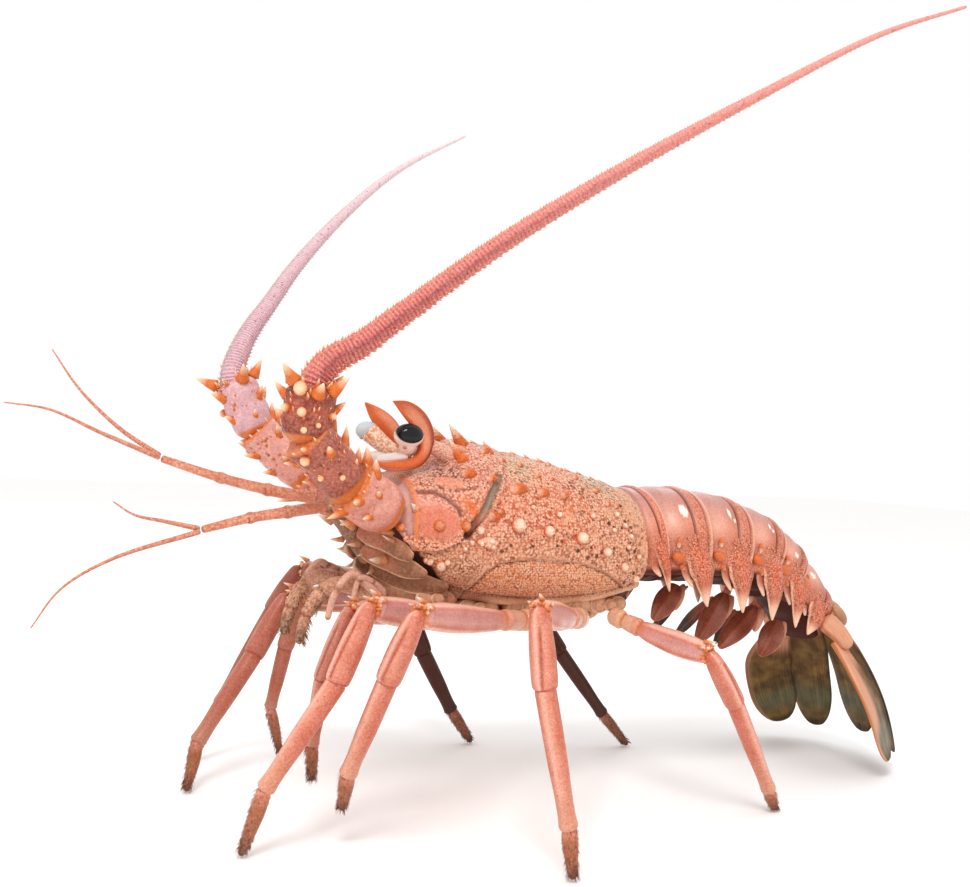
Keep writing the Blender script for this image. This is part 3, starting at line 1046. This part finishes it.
# Pale flecks on each ring's side: the share of its length, how far down it, and their half sizes.
FLECKS = [[], [(0.4, 0.34, 2.6, 3.2)], [(0.42, 0.3, 1.1, 2.6), (0.5, 0.4, 0.7, 1.2)],
          [(0.42, 0.3, 1, 1.6), (0.5, 0.36, 0.9, 1.4)], [(0.35, 0.52, 1.9, 2.2)], [(0.16, 0.5, 2.1, 2.7)]]


def tail_place(length, depth, out):
    place, way = back_line(np.clip(length / back_line.length, 0, 1))
    down = np.stack([way[..., 2], np.zeros_like(way[..., 0]), -way[..., 0]], axis=-1)
    return place + stack(0, out, 0) + down * np.asarray(depth)[..., None]


tail_chitin = chitin(
    "smooth tail chitin", "#d98f76", "#cd8065",
    [("front", "#e2a892"), ("lilac", "#b57f78"), ("band", "#cf6e50"), ("rear", "#ac593f"),
     ("low", "#b4573a"), ("ember", "#c8511f"), ("edge", "#eab294"), ("furrow", "#702f1f"),
     ("fleck", "#fdeadb"), ("spike", "#f3c4a4"), ("belly", "#47190b")],
    pits=[(1.5, 0.5, "#a04a33", 0.6)], grains=(0.95, "#eeb092", 0.55), shine=(0.34, 0.16), relief=0.2,
    thorn=("#cf6a3a", "#f8dcc2"))

start = 0
for index, ring_length in enumerate(TAIL_RINGS):
    def ring_rule(t, a, b):
        end = 0.025
        share = np.clip((t - end) / (1 - 2 * end), 0, 1)
        closing = np.sqrt(1 - (1 - np.clip(np.minimum(t, 1 - t) / end, 0, 1)) ** 2)
        length = start + JOINT_GAP + share * (ring_length - 2 * JOINT_GAP)
        deep = ring_depth(length)
        upper = smooth(-0.5, 0.0, b)
        wave = 0.035 * np.sin(3.1 * a + index)
        furrow = hill(share - 0.6 - wave, 0.03) * upper
        second = hill(share - 0.86 - 0.5 * wave, 0.022) * upper * (index > 0)
        swell = 0.8 * hill(share - 0.73, 0.09) * upper
        sunk = 2.3 * (1 - smooth(0, 0.26, share)) * upper + 1.1 * furrow - swell
        sunk = sunk + 0.8 * second + 0.9 * smooth(0.95, 1, share) * upper
        out = (ring_half_width(length) - sunk) * power(a, np.where(b > 0, 0.95, 0.7))
        roof = (deep * RING_WAIST - sunk) * power(b, 0.95)
        rise = np.where(b > 0, roof, deep * (1 - RING_WAIST) * power(b, 0.6))
        middle = deep * RING_WAIST
        places = tail_place(length, middle - rise * closing, out * closing)
        down = 1 - rise / middle
        fleck = np.zeros(len(t))
        for at, depth, wide, tall in FLECKS[index]:
            near = np.hypot((share - at) * ring_length / wide, (down - depth) * 40 / tall)
            fleck = np.maximum(fleck, smooth(1.1, 0.9, near))
        rows = 0.5 + 0.5 * np.sin(60 * share + 5 * np.sin(6 * a))
        marks = {
            "plain": 1 - 0.9 * smooth(0.62, 0.66, share) * (1 - smooth(0.84, 0.87, share))
            - 0.7 * smooth(0.45, 0.1, b) * (b > -0.3),
            "furrow": np.maximum(0.9 * furrow, 0.8 * second), "fleck": fleck * smooth(0.5, 0.7, np.abs(a)),
            "band": smooth(0.62, 0.7, share) * (1 - smooth(0.84, 0.9, share)),
            "edge": 0.7 * hill(share - 0.93, 0.04) * upper,
            "rear": 0.85 * index / 5 * smooth(0.2, 0.6, share), "low": 0.8 * smooth(0.5, 0.05, b),
            "front": 0.8 * (1 - smooth(0.05, 0.5, share)),
            "lilac": 0.8 * smooth(0.4, 1, b) + 0.15 * rows * smooth(0.3, 0.9, b),
            "belly": 0.9 * smooth(-0.25, -0.5, b), "dull": smooth(-0.25, -0.5, b),
        }
        return places, marks

    ring = moulded("tail_ring", 112, 100, ring_rule)
    middle = start + ring_length * 0.55
    tip_x, tip_z = SPIKES[index]
    _, way = back_line(middle / back_line.length)
    deep, half = float(ring_depth(middle)), float(ring_half_width(middle))
    breadth = min(ring_length * 0.27, 7.8)
    grown = []
    # Between the side plates lies the soft dark skin of the belly.
    belly_run = [tail_place(start + ring_length * share, deep * 0.93, 0) for share in (-0.1, 0.5, 1.1)]
    grown.append(tube("belly_skin",
                      belly_run, lambda t, a, b: (a * half * 0.74, b * (5.5 + 0.6 * np.sin(18 * t))),
                      40, 40, cap=3,
                      marks=lambda t, a, b: {"belly": 1.0, "plain": 1.0, "dull": 1.0}))
    for side in SIDES.values():
        root = tail_place(middle, deep * 0.5, side * (half - 5.6))
        tip = np.array([tip_x, side * (half + 0.5), tip_z])
        bend = (root + tip) / 2 - way * 0.4 + np.array([0, side * 3.6, 0])

        def plate_section(t, a, b):
            taper = np.interp(t, [0, 0.3, 0.55, 0.75, 0.9, 1], [1, 1, 0.8, 0.48, 0.24, 0.03])
            scallop = 0.12 * np.maximum(0, np.sin(16 * t)) * smooth(0.9, 0.5, t)
            width = a * breadth * taper * (1 + scallop * (np.abs(a) > 0.3))
            return width, b * (3.1 - 2.6 * t) + 0.5 * (1 - a * a)

        grown.append(tube("side_plate", [root, bend, tip], plate_section, 44, 70, broad=tuple(way), cap=1.2,
                          marks=lambda t, a, b: {"low": 0.9 * smooth(0.02, 0.2, t) * smooth(0.9, 0.6, t),
                                                 "furrow": 0.6 * hill(np.abs(a) - 0.72, 0.1)
                                                 * smooth(0.2, 0.4, t),
                                                 "ember": 0.75 * hill(t - 0.38, 0.22)
                                                 * smooth(0.9, 0.4, np.abs(a)),
                                                 "spike": smooth(0.66, 0.92, t)
                                                 + 0.75 * smooth(0.84, 0.96, np.abs(a))
                                                 * smooth(0.25, 0.4, t),
                                                 "plain": smooth(0.6, 0.75, t)}))
        # A narrow pale-tipped lobe stands before each spike, and an orange hinge knob above it.
        lobe_root = root * 0.6 + tip * 0.4 - way * breadth * 0.95 + np.array([0, side * 0.4, 0])
        lobe_tip = root * 0.27 + tip * 0.73 - way * breadth * 0.8 + np.array([0, side * 0.8, 0])
        grown.append(tube("side_lobe", [lobe_root, (lobe_root + lobe_tip) / 2 - way * 1.3, lobe_tip],
                          lambda t, a, b: (a * 2.9 * (1 - 0.92 * t) ** 0.7, b * 1.7 * (1 - 0.6 * t)),
                          24, 34, broad=tuple(way),
                          marks=lambda t, a, b: {"low": 0.6,
                                                 "spike": smooth(0.35, 0.85, t)
                                                 + 0.6 * smooth(0.8, 0.95, np.abs(a)),
                                                 "plain": 1.0}))
        if index:
            knob_at = tail_place(start + ring_length * 0.1, deep * 0.72, side * (half - 0.9))
            ridge_at = tail_place(start + ring_length * 0.14, deep * 0.6, side * (half - 0.6))
            grown.append(thorns("hinge_knobs",
                                [knob_at - way * 2.4, ridge_at + np.array([0, 0, 3.4]),
                                 knob_at + way * 2 + np.array([0, 0, -4])],
                                [knob_at + way * 4.2 + np.array([0, side * 0.6, -1.4]),
                                 ridge_at - np.array([0, 0, 1.5]),
                                 knob_at + way * 4.6 + np.array([0, side * 0.5, -6.5])],
                                [2.5, 1.2, 1.3], profile=KNOB, around=16,
                                along=12, pale=np.array([0.45, 0.95, 0.7])))
            grains = scatter.uniform(-1, 1, (46, 2))
            spots = [tail_place(middle + breadth * 0.8 * g[0] * (1 - 0.3 * g[1]),
                                deep * (0.66 + 0.16 * g[1]), side * (half + 0.1))
                     for g in grains]
            grown.append(thorns("side_grains", [p - np.array([0, side * 0.9, 0]) for p in spots],
                                [p + np.array([0, side * 0.55, 0]) for p in spots], 0.4,
                                profile=KNOB, pale=0.75, around=6, along=4))
    # Short hairs stand in the furrow.
    turns = scatter.uniform(0.03, 0.97, 150) * np.pi
    length = start + JOINT_GAP + (0.6 + 0.035 * np.sin(3.1 * np.cos(turns) + index)) * (ring_length - 1)
    hairs = tail_place(length, ring_depth(length) * RING_WAIST * (1 - np.sin(turns)) + 1,
                       (ring_half_width(length) - 1.2) * np.cos(turns))
    lean = stack(scatter.normal(0, 0.3, 150), 0.6 * np.cos(turns), 0.8 * np.sin(turns)) + way * 0.9
    grown.append(thorns("furrow_hairs", hairs, hairs + lean * 1.3, 0.12, profile=HAIR, around=3, along=3))
    ring = joined(ring, *grown)
    ring.name = f"tail_ring_{index + 1}_shell"
    wear(ring, tail_chitin)
    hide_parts(f"tail_ring_{index + 1}")
    start += ring_length

# ---------------------------------------------------------------- swimmerets
# Leaf-shaped paddles under the tail, red-brown horny skin with a pale rim and a fine rib, and a small
# pale inner lobe at the root of each.

SWIMMERETS = [[(88, 97), (74, 80)], [(118, 92), (100, 68)], [(137, 85), (114, 65)], [(152, 78), (140, 60)]]
leaf_skin = chitin("wet paddle skin", "#8a452f", "#743421",
                   [("teal", "#22332f"), ("rim", "#cf8d72"), ("rib", "#a5583e")],
                   pits=[(2.5, 0.75, "#4e251a", 0.4)], grains=(1.1, "#a5664c", 0.3),
                   shine=(0.45, 0.05), relief=0.12)
for index, ((hinge_x, hinge_z), (end_x, end_z)) in enumerate(SWIMMERETS):
    for side_name, side in SIDES.items():
        def leaf_marks(t, a, b):
            return {"rim": 0.8 * smooth(0.93, 0.99, np.abs(a)) + 0.5 * smooth(0.97, 1, t),
                    "rib": 0.5 * hill(a, 0.1), "plain": 0.5,
                    "teal": 0.9 * (side > 0) * smooth(0.3, 0.7, t)}

        leaf = tube("paddle", [(hinge_x, side * 17, hinge_z),
                               ((hinge_x + end_x) / 2, side * 19, (hinge_z + end_z) / 2),
                               (end_x, side * 19, end_z)],
                    lambda t, a, b: (power(a, 0.8) * 6.1 * np.sin(np.pi * (0.05 + 0.9 * t ** 0.85)) ** 0.8,
                                     b * (0.5 + 0.35 * hill(a, 0.16)) + 0.5 * a * a), 40, 48,
                    broad=(1, -0.9 if side < 0 else 0.3, 0), cap=0.8,
                    marks=leaf_marks)
        lobe_run = [(hinge_x + 3, side * 18, hinge_z - 1), (hinge_x - 1, side * 21, hinge_z - 7),
                    (hinge_x - 3.5, side * 21, hinge_z - 12)]
        lobe = tube("paddle_lobe", lobe_run,
                    lambda t, a, b: (a * 2.2 * np.sqrt(np.sin(np.pi * (0.1 + 0.85 * t))), b * 0.8),
                    16, 24, broad=(1, side, 0), marks=lambda t, a, b: {"rim": 0.8, "plain": 1.0})
        leaf = joined(leaf, lobe)
        leaf.name = f"swimmeret_leaf_{index + 1}_{side_name}"
        wear(leaf, leaf_skin)
        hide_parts(f"swimmeret_{index + 1}_{side_name}")

# ---------------------------------------------------------------- tail fan
# The telson and two pairs of uropods: a hard salmon root to each, then thin olive-brown horny skin with
# ribs that spread to a teal-grey band and a dark fringe.

# Each lobe's run from its root, the way it is broad, its half width and its half thickness.
FAN_PLATES = {
    "telson": ([(190, 0, 86), (199, 0, 76), (209, 0, 63), (220, 0, 42), (230, 0, 11)], (0, 1, 0), 13, 1.3),
    "uropod_inner": ([(188, 11, 84), (196, 14, 73), (204, 19, 60), (213, 25, 40), (223, 29, 8)],
                     (0.5, -0.86, 0), 11.5, 1.1),
    "uropod_outer": ([(186, 22.5, 67), (195, 39, 40), (208, 41, 8.5)], (0.86, -0.5, 0), 13, 1.3),
}
SHOULDER = [(178, 21, 78), (184, 25.5, 72), (189, 29.5, 64)]


def fan_breadth(t):
    """The share of a lobe's half width along it: it widens from the root and ends round."""
    round_end = np.sqrt(np.clip(1 - (np.clip(t - 0.7, 0, 1) / 0.305) ** 2, 0.01, 1))
    return (0.55 + 0.45 * smooth(0.05, 0.45, t)) * round_end


fan_skin, tree, skin, place = fresh_material("horny fan skin")
blotch = noise(tree, place, 7, 4)
strip = put(tree, "CombineXYZ", {"X": share_of(tree, "across"), "Y": share_of(tree, "along")}).outputs[0]
# The ribs are many across a lobe and long along it.
stretch = put(tree, "VectorMath", {0: strip, 1: (42, 2.2, 1)}, operation="MULTIPLY").outputs[0]
ribs = put(tree, "TexNoise", {"Vector": stretch, "Scale": 1.0, "Detail": 2}).outputs["Fac"]
colour = over(tree, ranged(tree, blotch, 0.4, 0.62), linear("#866534"), linear("#5c401c"))
for zone, paint in (("teal", "#5a6a54"), ("dark", "#2c1808"), ("root", "#6b3f1c"), ("hard", "#d89a78"),
                    ("pale", "#b8642f")):
    colour = over(tree, share_of(tree, zone), colour, linear(paint))
colour = over(tree, 1.0, colour, ranged(tree, ribs, 0.35, 0.65, 0.6, 1.25), blend_type="MULTIPLY")
surface(tree, skin, colour, ribs, 0.6, 0.3)
skin.inputs["Roughness"].default_value = 0.38
skin.inputs["Specular IOR Level"].default_value = 0.2
skin.inputs["Coat Weight"].default_value = 0.1
skin.inputs["Coat Roughness"].default_value = 0.2


def fan_plate(kind, side):
    run, broad, wide, thick = FAN_PLATES[kind]
    outer = kind == "uropod_outer"

    def section(t, a, b):
        edge = 1 + 0.03 * np.sin(9 * a) * smooth(0.7, 1, t)
        rib = 0.25 * np.cos(a * 14) * smooth(0.3, 0.8, t) * (1 - np.abs(a))
        return (power(a, 0.9) * wide * fan_breadth(t) * edge, b * thick * (1.9 - 1.3 * t) + rib * 0.6)

    def marks(t, a, b):
        hard = 0.4 * smooth(0.3, 0.1, t) if kind == "telson" else smooth(0.34, 0.14, t)
        lead = smooth(0, -0.3, a) * smooth(0.7, 0.5, t + 0.2 * a) * (side < 0) if outer else 0 * a
        lead = np.maximum(lead, smooth(-0.72, -0.86, a) * (0.9 if side < 0 else 0.4)) if outer else lead
        if kind == "uropod_inner":
            lead = 0.8 * smooth(0.8, 0.9, a * side * -1) * smooth(0.95, 0.8, t)
        return {"across": a, "along": t, "hard": np.maximum(hard, lead * 0.95),
                "root": 0.7 * smooth(0.45, 0.2, t),
                "teal": 0.6 * hill(t - 0.79, 0.1),
                "dark": 0.75 * smooth(0.92, 0.98, t) + 0.6 * smooth(0.8, 0.97, np.abs(a)),
                "pale": 0.9 * lead
                * (smooth(-0.9, -0.97, a) + 0.8 * hill(a + 0.2, 0.08) * smooth(0.7, 0.5, t))}

    return tube("tail_fan_plate", mirrored(side, run), section, 60, 90, broad=mirrored(side, [broad])[0],
                marks=marks, cap=1.2)


# A cushion of soft skin hinges the lobes on the last ring.
hinge = tube("fan_hinge_skin",
             [(191, -21, 77), (194.5, -10, 81), (195.5, 0, 82), (194.5, 10, 81), (191, 21, 77)],
             lambda t, a, b: (a * 6 + 0.25 * np.sin(50 * t), b * 3.8), 32, 60,
             broad=(0.61, 0, -0.79), cap=4,
             marks=lambda t, a, b: {"hard": 0.6, "dark": 0.35 * smooth(0.2, 1, np.sin(50 * t)),
                                    "across": a, "along": t})
telson = joined(fan_plate("telson", 1), hinge)
telson.name = "tail_fan_telson"
wear(telson, fan_skin)
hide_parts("telson")
for side_name, side in SIDES.items():
    for kind in ("uropod_inner", "uropod_outer"):
        plate = fan_plate(kind, side)
        if kind == "uropod_outer":
            # The hinge piece: a round hard shoulder from the last ring to the root of the outer lobe.
            shoulder = tube("shoulder", mirrored(side, SHOULDER),
                            lambda t, a, b: (a * (6 - 1.8 * t), b * (5 - 1.6 * t)), 32, 30,
                            broad=(1, side * 0.2, 0), cap=4,
                            marks=lambda t, a, b: {"hard": 1.0, "pale": 0.7 * smooth(0.8, 1, np.abs(a)),
                                                   "across": a, "along": t})
            plate = joined(plate, shoulder)
        plate.name = f"tail_fan_{kind}_{side_name}"
        wear(plate, fan_skin)
        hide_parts(f"{kind}_{side_name}")

# ---------------------------------------------------------------- walking legs
# Ten jointed tubes of smooth shell. The upper solid holds the hip, a short ring and the long thigh, the
# lower one the wrist, the hand and a bristly claw. Orange skin shows in every joint.

LEG_JOINTS = {
    "left": [
        [(-88, 48, 93), (-97, 42, 65), (-99, 38, 39), (-97, 34, 23)],
        [(-84, 60, 96), (-96, 56, 67), (-120, 48, 26), (-127, 43.5, 0)],
        [(-72, 78, 95.5), (-80, 68, 69), (-88.5, 52, 30), (-88, 45.5, 14)],
        [(-33, 100, 99), (-31, 103, 71), (-20, 106, 19), (-18, 107, 0)],
        [(63, 76, 75), (81, 74, 52), (107, 68, 10), (112.5, 66, 0)],
    ],
    "right": [
        [(-78, 45, 86), (-85, 52, 60), (-89, 58.5, 31), (-82, 63, 7)],
        [(-81, 61, 83), (-99, 57, 56), (-125.5, 47, 20), (-131, 40, 0)],
        [(-70, 78, 94), (-84, 80, 73), (-107, 85.5, 27), (-119, 88, 0)],
        [(-8, 92, 76), (2, 88, 47), (17, 82, 17), (28, 79, 0)],
        [(57, 66, 71), (70, 60, 50), (94, 53, 17), (108, 49, 0)],
    ],
}
LEG_SIZE = [0.82, 1, 1, 1, 0.92]
KNEE_BEADS, CLAW_BRISTLES = 26, 420
# How brown each leg is: those in the shade of the body are the darkest.
LEG_SHADE = {"left": [0.25, 0.0, 0.0, 0.0, 0.0], "right": [0.35, 0.3, 0.45, 0.95, 0.95]}
upper_radius = through((0, 5.0), (0.1, 5.3), (0.17, 4.6), (0.26, 5.0),
                       (0.34, 4.7), (0.45, 5.4), (0.88, 6.1), (1, 4.9))

leg_chitin = chitin(
    "smooth leg chitin", "#dc8f78", "#cb765b",
    [("deep", "#bd5236"), ("pale", "#f0b9a6"), ("lilac", "#c08f92"), ("tan", "#d8a888"),
     ("line", "#a6381a"), ("claw", "#96501f"), ("brown", "#5f3012"), ("joint", "#d07a34"),
     ("shade", "#381708")],
    pits=[(2.1, 0.5, "#a34f35", 0.5)], grains=(1.0, "#eebba6", 0.16), shine=(0.3, 0.3), relief=0.12,
    thorn=("#d47a40", "#fde6cd"))

for side_name, side in SIDES.items():
    for index, joints in enumerate(LEG_JOINTS[side_name]):
        knee, wrist, claw_root, tip = np.array(mirrored(side, joints), float)
        hip_x, hip_z = LEG_ROOTS[index]
        hip = np.array([hip_x, side * (THORAX_HALF + 4.2), hip_z], float)
        size, shade = LEG_SIZE[index], LEG_SHADE[side_name][index]
        thigh_way = unit(knee - hip)
        level = unit(np.cross(knee - hip, (0, 0, 1)))
        way, hand_way, claw_way = unit(wrist - knee), unit(claw_root - wrist), unit(tip - claw_root)

        def joint_lines(t):
            return hill(t - 0.168, 0.012) + hill(t - 0.35, 0.01)

        def thigh_section(t, a, b):
            rims = hill(t - 0.125, 0.02) + hill(t - 0.31, 0.02)
            necks = hill(t - 0.165, 0.014) + hill(t - 0.345, 0.014)
            radius = size * (upper_radius(t) + 0.5 * rims - 0.7 * necks + 0.7 * hill(t - 0.975, 0.02))
            boxy = 1 - 0.3 * smooth(0.34, 0.46, t)
            return power(a, boxy) * 0.8 * radius, power(b, boxy) * 0.88 * radius

        upper = tube("leg_upper",
                     [hip - thigh_way * 4, (hip + knee) / 2 - np.array([0, 0, 0.8]),
                      knee + thigh_way * 0.6], thigh_section,
                     48, 120, broad=tuple(level), cap=3.5,
                     marks=lambda t, a, b: {
                         "tan": 0.85 * smooth(0.36, 0.24, t),
                         "joint": 0.9 * joint_lines(t) + smooth(0.975, 1, t),
                         "pale": 0.8 * smooth(0.62, 0.8, np.abs(b)) * smooth(0.36, 0.5, t)
                         + 0.5 * hill(b - 0.1, 0.12) * smooth(0.4, 0.5, t),
                         "lilac": 0.55 * hill(b + 0.1, 0.5) * smooth(0.36, 0.5, t),
                         "deep": 0.6 * hill(np.abs(b) - 0.5, 0.1) * smooth(0.36, 0.5, t),
                         "line": 0.9 * joint_lines(t) * smooth(0.1, -0.5, b),
                         "shade": shade * (0.55 + 0.45 * t), "plain": 0.6 + 0.4 * shade,
                         "dull": shade})
        # Spikes stand over the knee, and an orange cushion of skin fills its hollow.
        up = np.cross(thigh_way, level)
        up *= np.sign(up[2])
        roots = [knee - thigh_way * 3 + up * 4.6 * size]
        tips = [knee + thigh_way * 3.5 + up * (4.6 * size + 2.4)]
        for flank_way in (level, -level):
            roots.append(knee - thigh_way * 3.4 + up * 3 * size + flank_way * 3.6 * size)
            tips.append(roots[-1] + thigh_way * 5 + up + flank_way * 1.2)
        radii = [1.5 * size, 1.2 * size, 1.2 * size]
        upper = joined(upper, thorns("knee_spikes", roots, tips, radii, around=10, along=8))
        cushion = tube("knee_skin", [knee - thigh_way * 2.5, knee + (wrist - knee) * 0.02, knee + way * 4],
                       round_by(lambda t: 2.5 * size * (1 + 0.06 * np.sin(40 * t)), 1.04), 28, 40,
                       broad=tuple(level), cap=2,
                       marks=lambda t, a, b: {"joint": 1.0, "plain": 1.0, "shade": 0.6 * shade})
        turns = scatter.uniform(0, 2 * np.pi, KNEE_BEADS)
        ring = [np.sin(turn) * level + np.cos(turn) * up for turn in turns]
        knuckles = [knee + thigh_way * scatter.uniform(-0.6, 1.2) + r * size * scatter.uniform(2.9, 3.9)
                    for r in ring]
        beads = thorns("knee_beads", [k - r for k, r in zip(knuckles, ring)],
                       [k + r for k, r in zip(knuckles, ring)],
                       scatter.uniform(0.45, 0.95, KNEE_BEADS) * size,
                       profile=KNOB, pale=scatter.uniform(0.2, 0.9, KNEE_BEADS), around=10, along=7)
        upper = joined(upper, cushion, beads)
        upper.name = f"leg_{index + 1}_hip_and_thigh_{side_name}"
        wear(upper, leg_chitin)
        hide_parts(f"leg_{index + 1}_upper_{side_name}")

        # Wrist, hand and claw are three tubes, each nested in the rim of the one before.
        bend = np.arccos(np.clip(way @ thigh_way, -1, 1))
        start_at = knee + (thigh_way * 2.4 - way * 2.2) * size * np.sin(min(bend, np.pi / 2))
        wrist_shape = through((0, 2.7), (0.1, 3.6), (0.4, 4.8), (0.7, 5.1), (0.93, 4.8), (1, 4.3))
        hand_shape = through((0, 4.3), (0.12, 4.3), (0.5, 4.05), (0.9, 3.6), (0.96, 3.8), (1, 3.2))
        claw_shape = through((0, 2.7), (0.2, 3.1), (0.6, 2.6), (0.9, 1.7), (1, 1.2))

        def groove(t, a):
            return hill(a + 0.22 - 0.25 * t, 0.13) * smooth(0.12, 0.3, t) * smooth(0.97, 0.9, t)

        lower = tube("leg_wrist", [start_at, (start_at + wrist) / 2 + up * 0.4, wrist + way * 1.2],
                     lambda t, a, b: (a * size * wrist_shape(t),
                                      b * size * (wrist_shape(t) - 0.7 * groove(t, a))), 56, 80,
                     broad=tuple(level), cap=2.4,
                     marks=lambda t, a, b: {"deep": 0.45 * smooth(0.4, 0.9, np.abs(a))
                                            + 0.3 * hill(t - 0.05, 0.08), "plain": shade, "dull": shade,
                                            "line": 0.9 * groove(t, a)
                                            + 0.9 * hill(t - 0.955 - 0.02 * a, 0.014),
                                            "pale": 0.7 * hill(a - 0.28, 0.22) + 0.6 * smooth(0.975, 1, t),
                                            "shade": shade})
        hand = tube("leg_hand", [wrist - hand_way * 1.5, (wrist + claw_root) / 2, claw_root + hand_way],
                    lambda t, a, b: (a * size * hand_shape(t) * 0.96, b * size * hand_shape(t)), 36, 90,
                    broad=tuple(level), cap=2,
                    marks=lambda t, a, b: {"deep": 0.6 * smooth(0.3, 0.85, np.abs(a)), "plain": shade,
                                           "dull": shade,
                                           "pale": 0.6 * hill(a - 0.12, 0.25) * smooth(1.0, 0.6, t),
                                           "tan": 0.45 * smooth(0.5, 1, t),
                                           "line": 0.6 * smooth(0.975, 0.995, t),
                                           "shade": shade})
        sole = tip + np.array([0, 0, 0.35])
        claw = tube("leg_claw",
                    [claw_root - claw_way * 0.8, (claw_root + tip) / 2 + np.cross(claw_way, level) * 0.3,
                     sole],
                    round_by(lambda t: size * claw_shape(t)), 28, 50, broad=tuple(level), cap=1.2,
                    marks=lambda t, a, b: {"claw": 0.9 * smooth(0.02, 0.3, t),
                                           "brown": 0.85 * smooth(0.55, 1, t), "shade": 0.5 * shade})
        # Bristles cover the claw and the end of the hand, and lie towards the tip.
        claw_line = centreline([claw_root - hand_way * 6, claw_root, (claw_root + tip) / 2,
                                sole - claw_way * 0.4])
        shares = scatter.uniform(0.1, 0.95, CLAW_BRISTLES) ** 0.8
        place, run_way = claw_line(shares)
        outward = crosswise(scatter.normal(size=(CLAW_BRISTLES, 3)), run_way)
        hair_roots = place + outward * size * 2.2 * (1.15 - 0.6 * shares)[:, None]
        hair_tips = hair_roots + (outward * 0.55 + run_way) * scatter.uniform(1.2, 3.2, (CLAW_BRISTLES, 1))
        hair_tips[:, 2] = np.maximum(hair_tips[:, 2], 0.05)
        hair_roots[:, 2] = np.maximum(hair_roots[:, 2], 0.1)
        bristles = thorns("claw_bristles", hair_roots, hair_tips, 0.17, profile=HAIR, around=3, along=3)
        corner_count = len(bristles.data.vertices)
        bristles.data.attributes["thorn"].data.foreach_set("value", np.zeros(corner_count, np.float32))
        brown = np.repeat(0.7 * smooth(0.2, 0.9, shares), corner_count // CLAW_BRISTLES)
        mark(bristles, {"claw": 0.8, "brown": brown, "shade": 0.4 * shade})
        lower = joined(lower, hand, claw, bristles)
        above_floor = np.maximum(corners_of(lower), (-np.inf, -np.inf, 0))
        lower.data.vertices.foreach_set("co", above_floor.ravel())
        lower.name = f"leg_{index + 1}_wrist_hand_and_claw_{side_name}"
        wear(lower, leg_chitin)
        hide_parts(f"leg_{index + 1}_lower_{side_name}")

# ---------------------------------------------------------------- floor, light and camera
# A plain pale floor under plain soft studio light. The camera stands level with the animal's back, in
# front of its left flank, where the view shows that flank, the face and the tail's side at once.

floor_size = 6.0
bpy.ops.mesh.primitive_plane_add(size=floor_size, location=(0, 0, -0.0005))
floor = bpy.context.object
floor.name = "floor"
paper = bpy.data.materials.new("matt white paper")
paper.use_nodes = True
paper.node_tree.nodes["Principled BSDF"].inputs["Base Color"].default_value = linear("#fcfbfa")
paper.node_tree.nodes["Principled BSDF"].inputs["Roughness"].default_value = 0.9
floor.data.materials.append(paper)

world = bpy.data.worlds.new("studio")
world.use_nodes = True
world.node_tree.nodes["Background"].inputs["Color"].default_value = linear("#ffffff")
world.node_tree.nodes["Background"].inputs["Strength"].default_value = 1.0
bpy.context.scene.world = world


def lamp(name, place, aim, size, watts):
    bpy.ops.object.light_add(type="AREA", location=place)
    light = bpy.context.object
    light.name = name
    light.data.size = size
    light.data.energy = watts
    light.rotation_euler = (Vector(aim) - Vector(place)).to_track_quat("-Z", "Y").to_euler()


lamp("key", (-0.5, -0.75, 1.2), (0, 0, 0.13), 0.4, 9)
lamp("back", (0.6, 0.9, 0.9), (0, 0, 0.15), 0.7, 2)

CAMERA_TURN, CAMERA_ROLL = np.radians(-26), np.radians(2.5)
CAMERA_AIM = np.array([-10, 0, 161])  # mm, the middle of the picture
CAMERA_FAR = 520  # mm from there to the lens
SENSOR, PICTURE_WIDTH, FOCAL_PIXELS = 36.0, 970, 1130
back = np.array([np.sin(CAMERA_TURN), -np.cos(CAMERA_TURN), 0])
bpy.ops.object.camera_add(location=tuple((CAMERA_AIM + ORIGIN + back * CAMERA_FAR) * MM))
camera = bpy.context.object
camera.rotation_euler = (np.pi / 2, 0, CAMERA_TURN)
camera.rotation_euler.rotate_axis("Z", CAMERA_ROLL)
camera.data.sensor_width = SENSOR
camera.data.lens = FOCAL_PIXELS / PICTURE_WIDTH * SENSOR
bpy.context.scene.camera = camera
bpy.context.scene.view_settings.view_transform = "Standard"
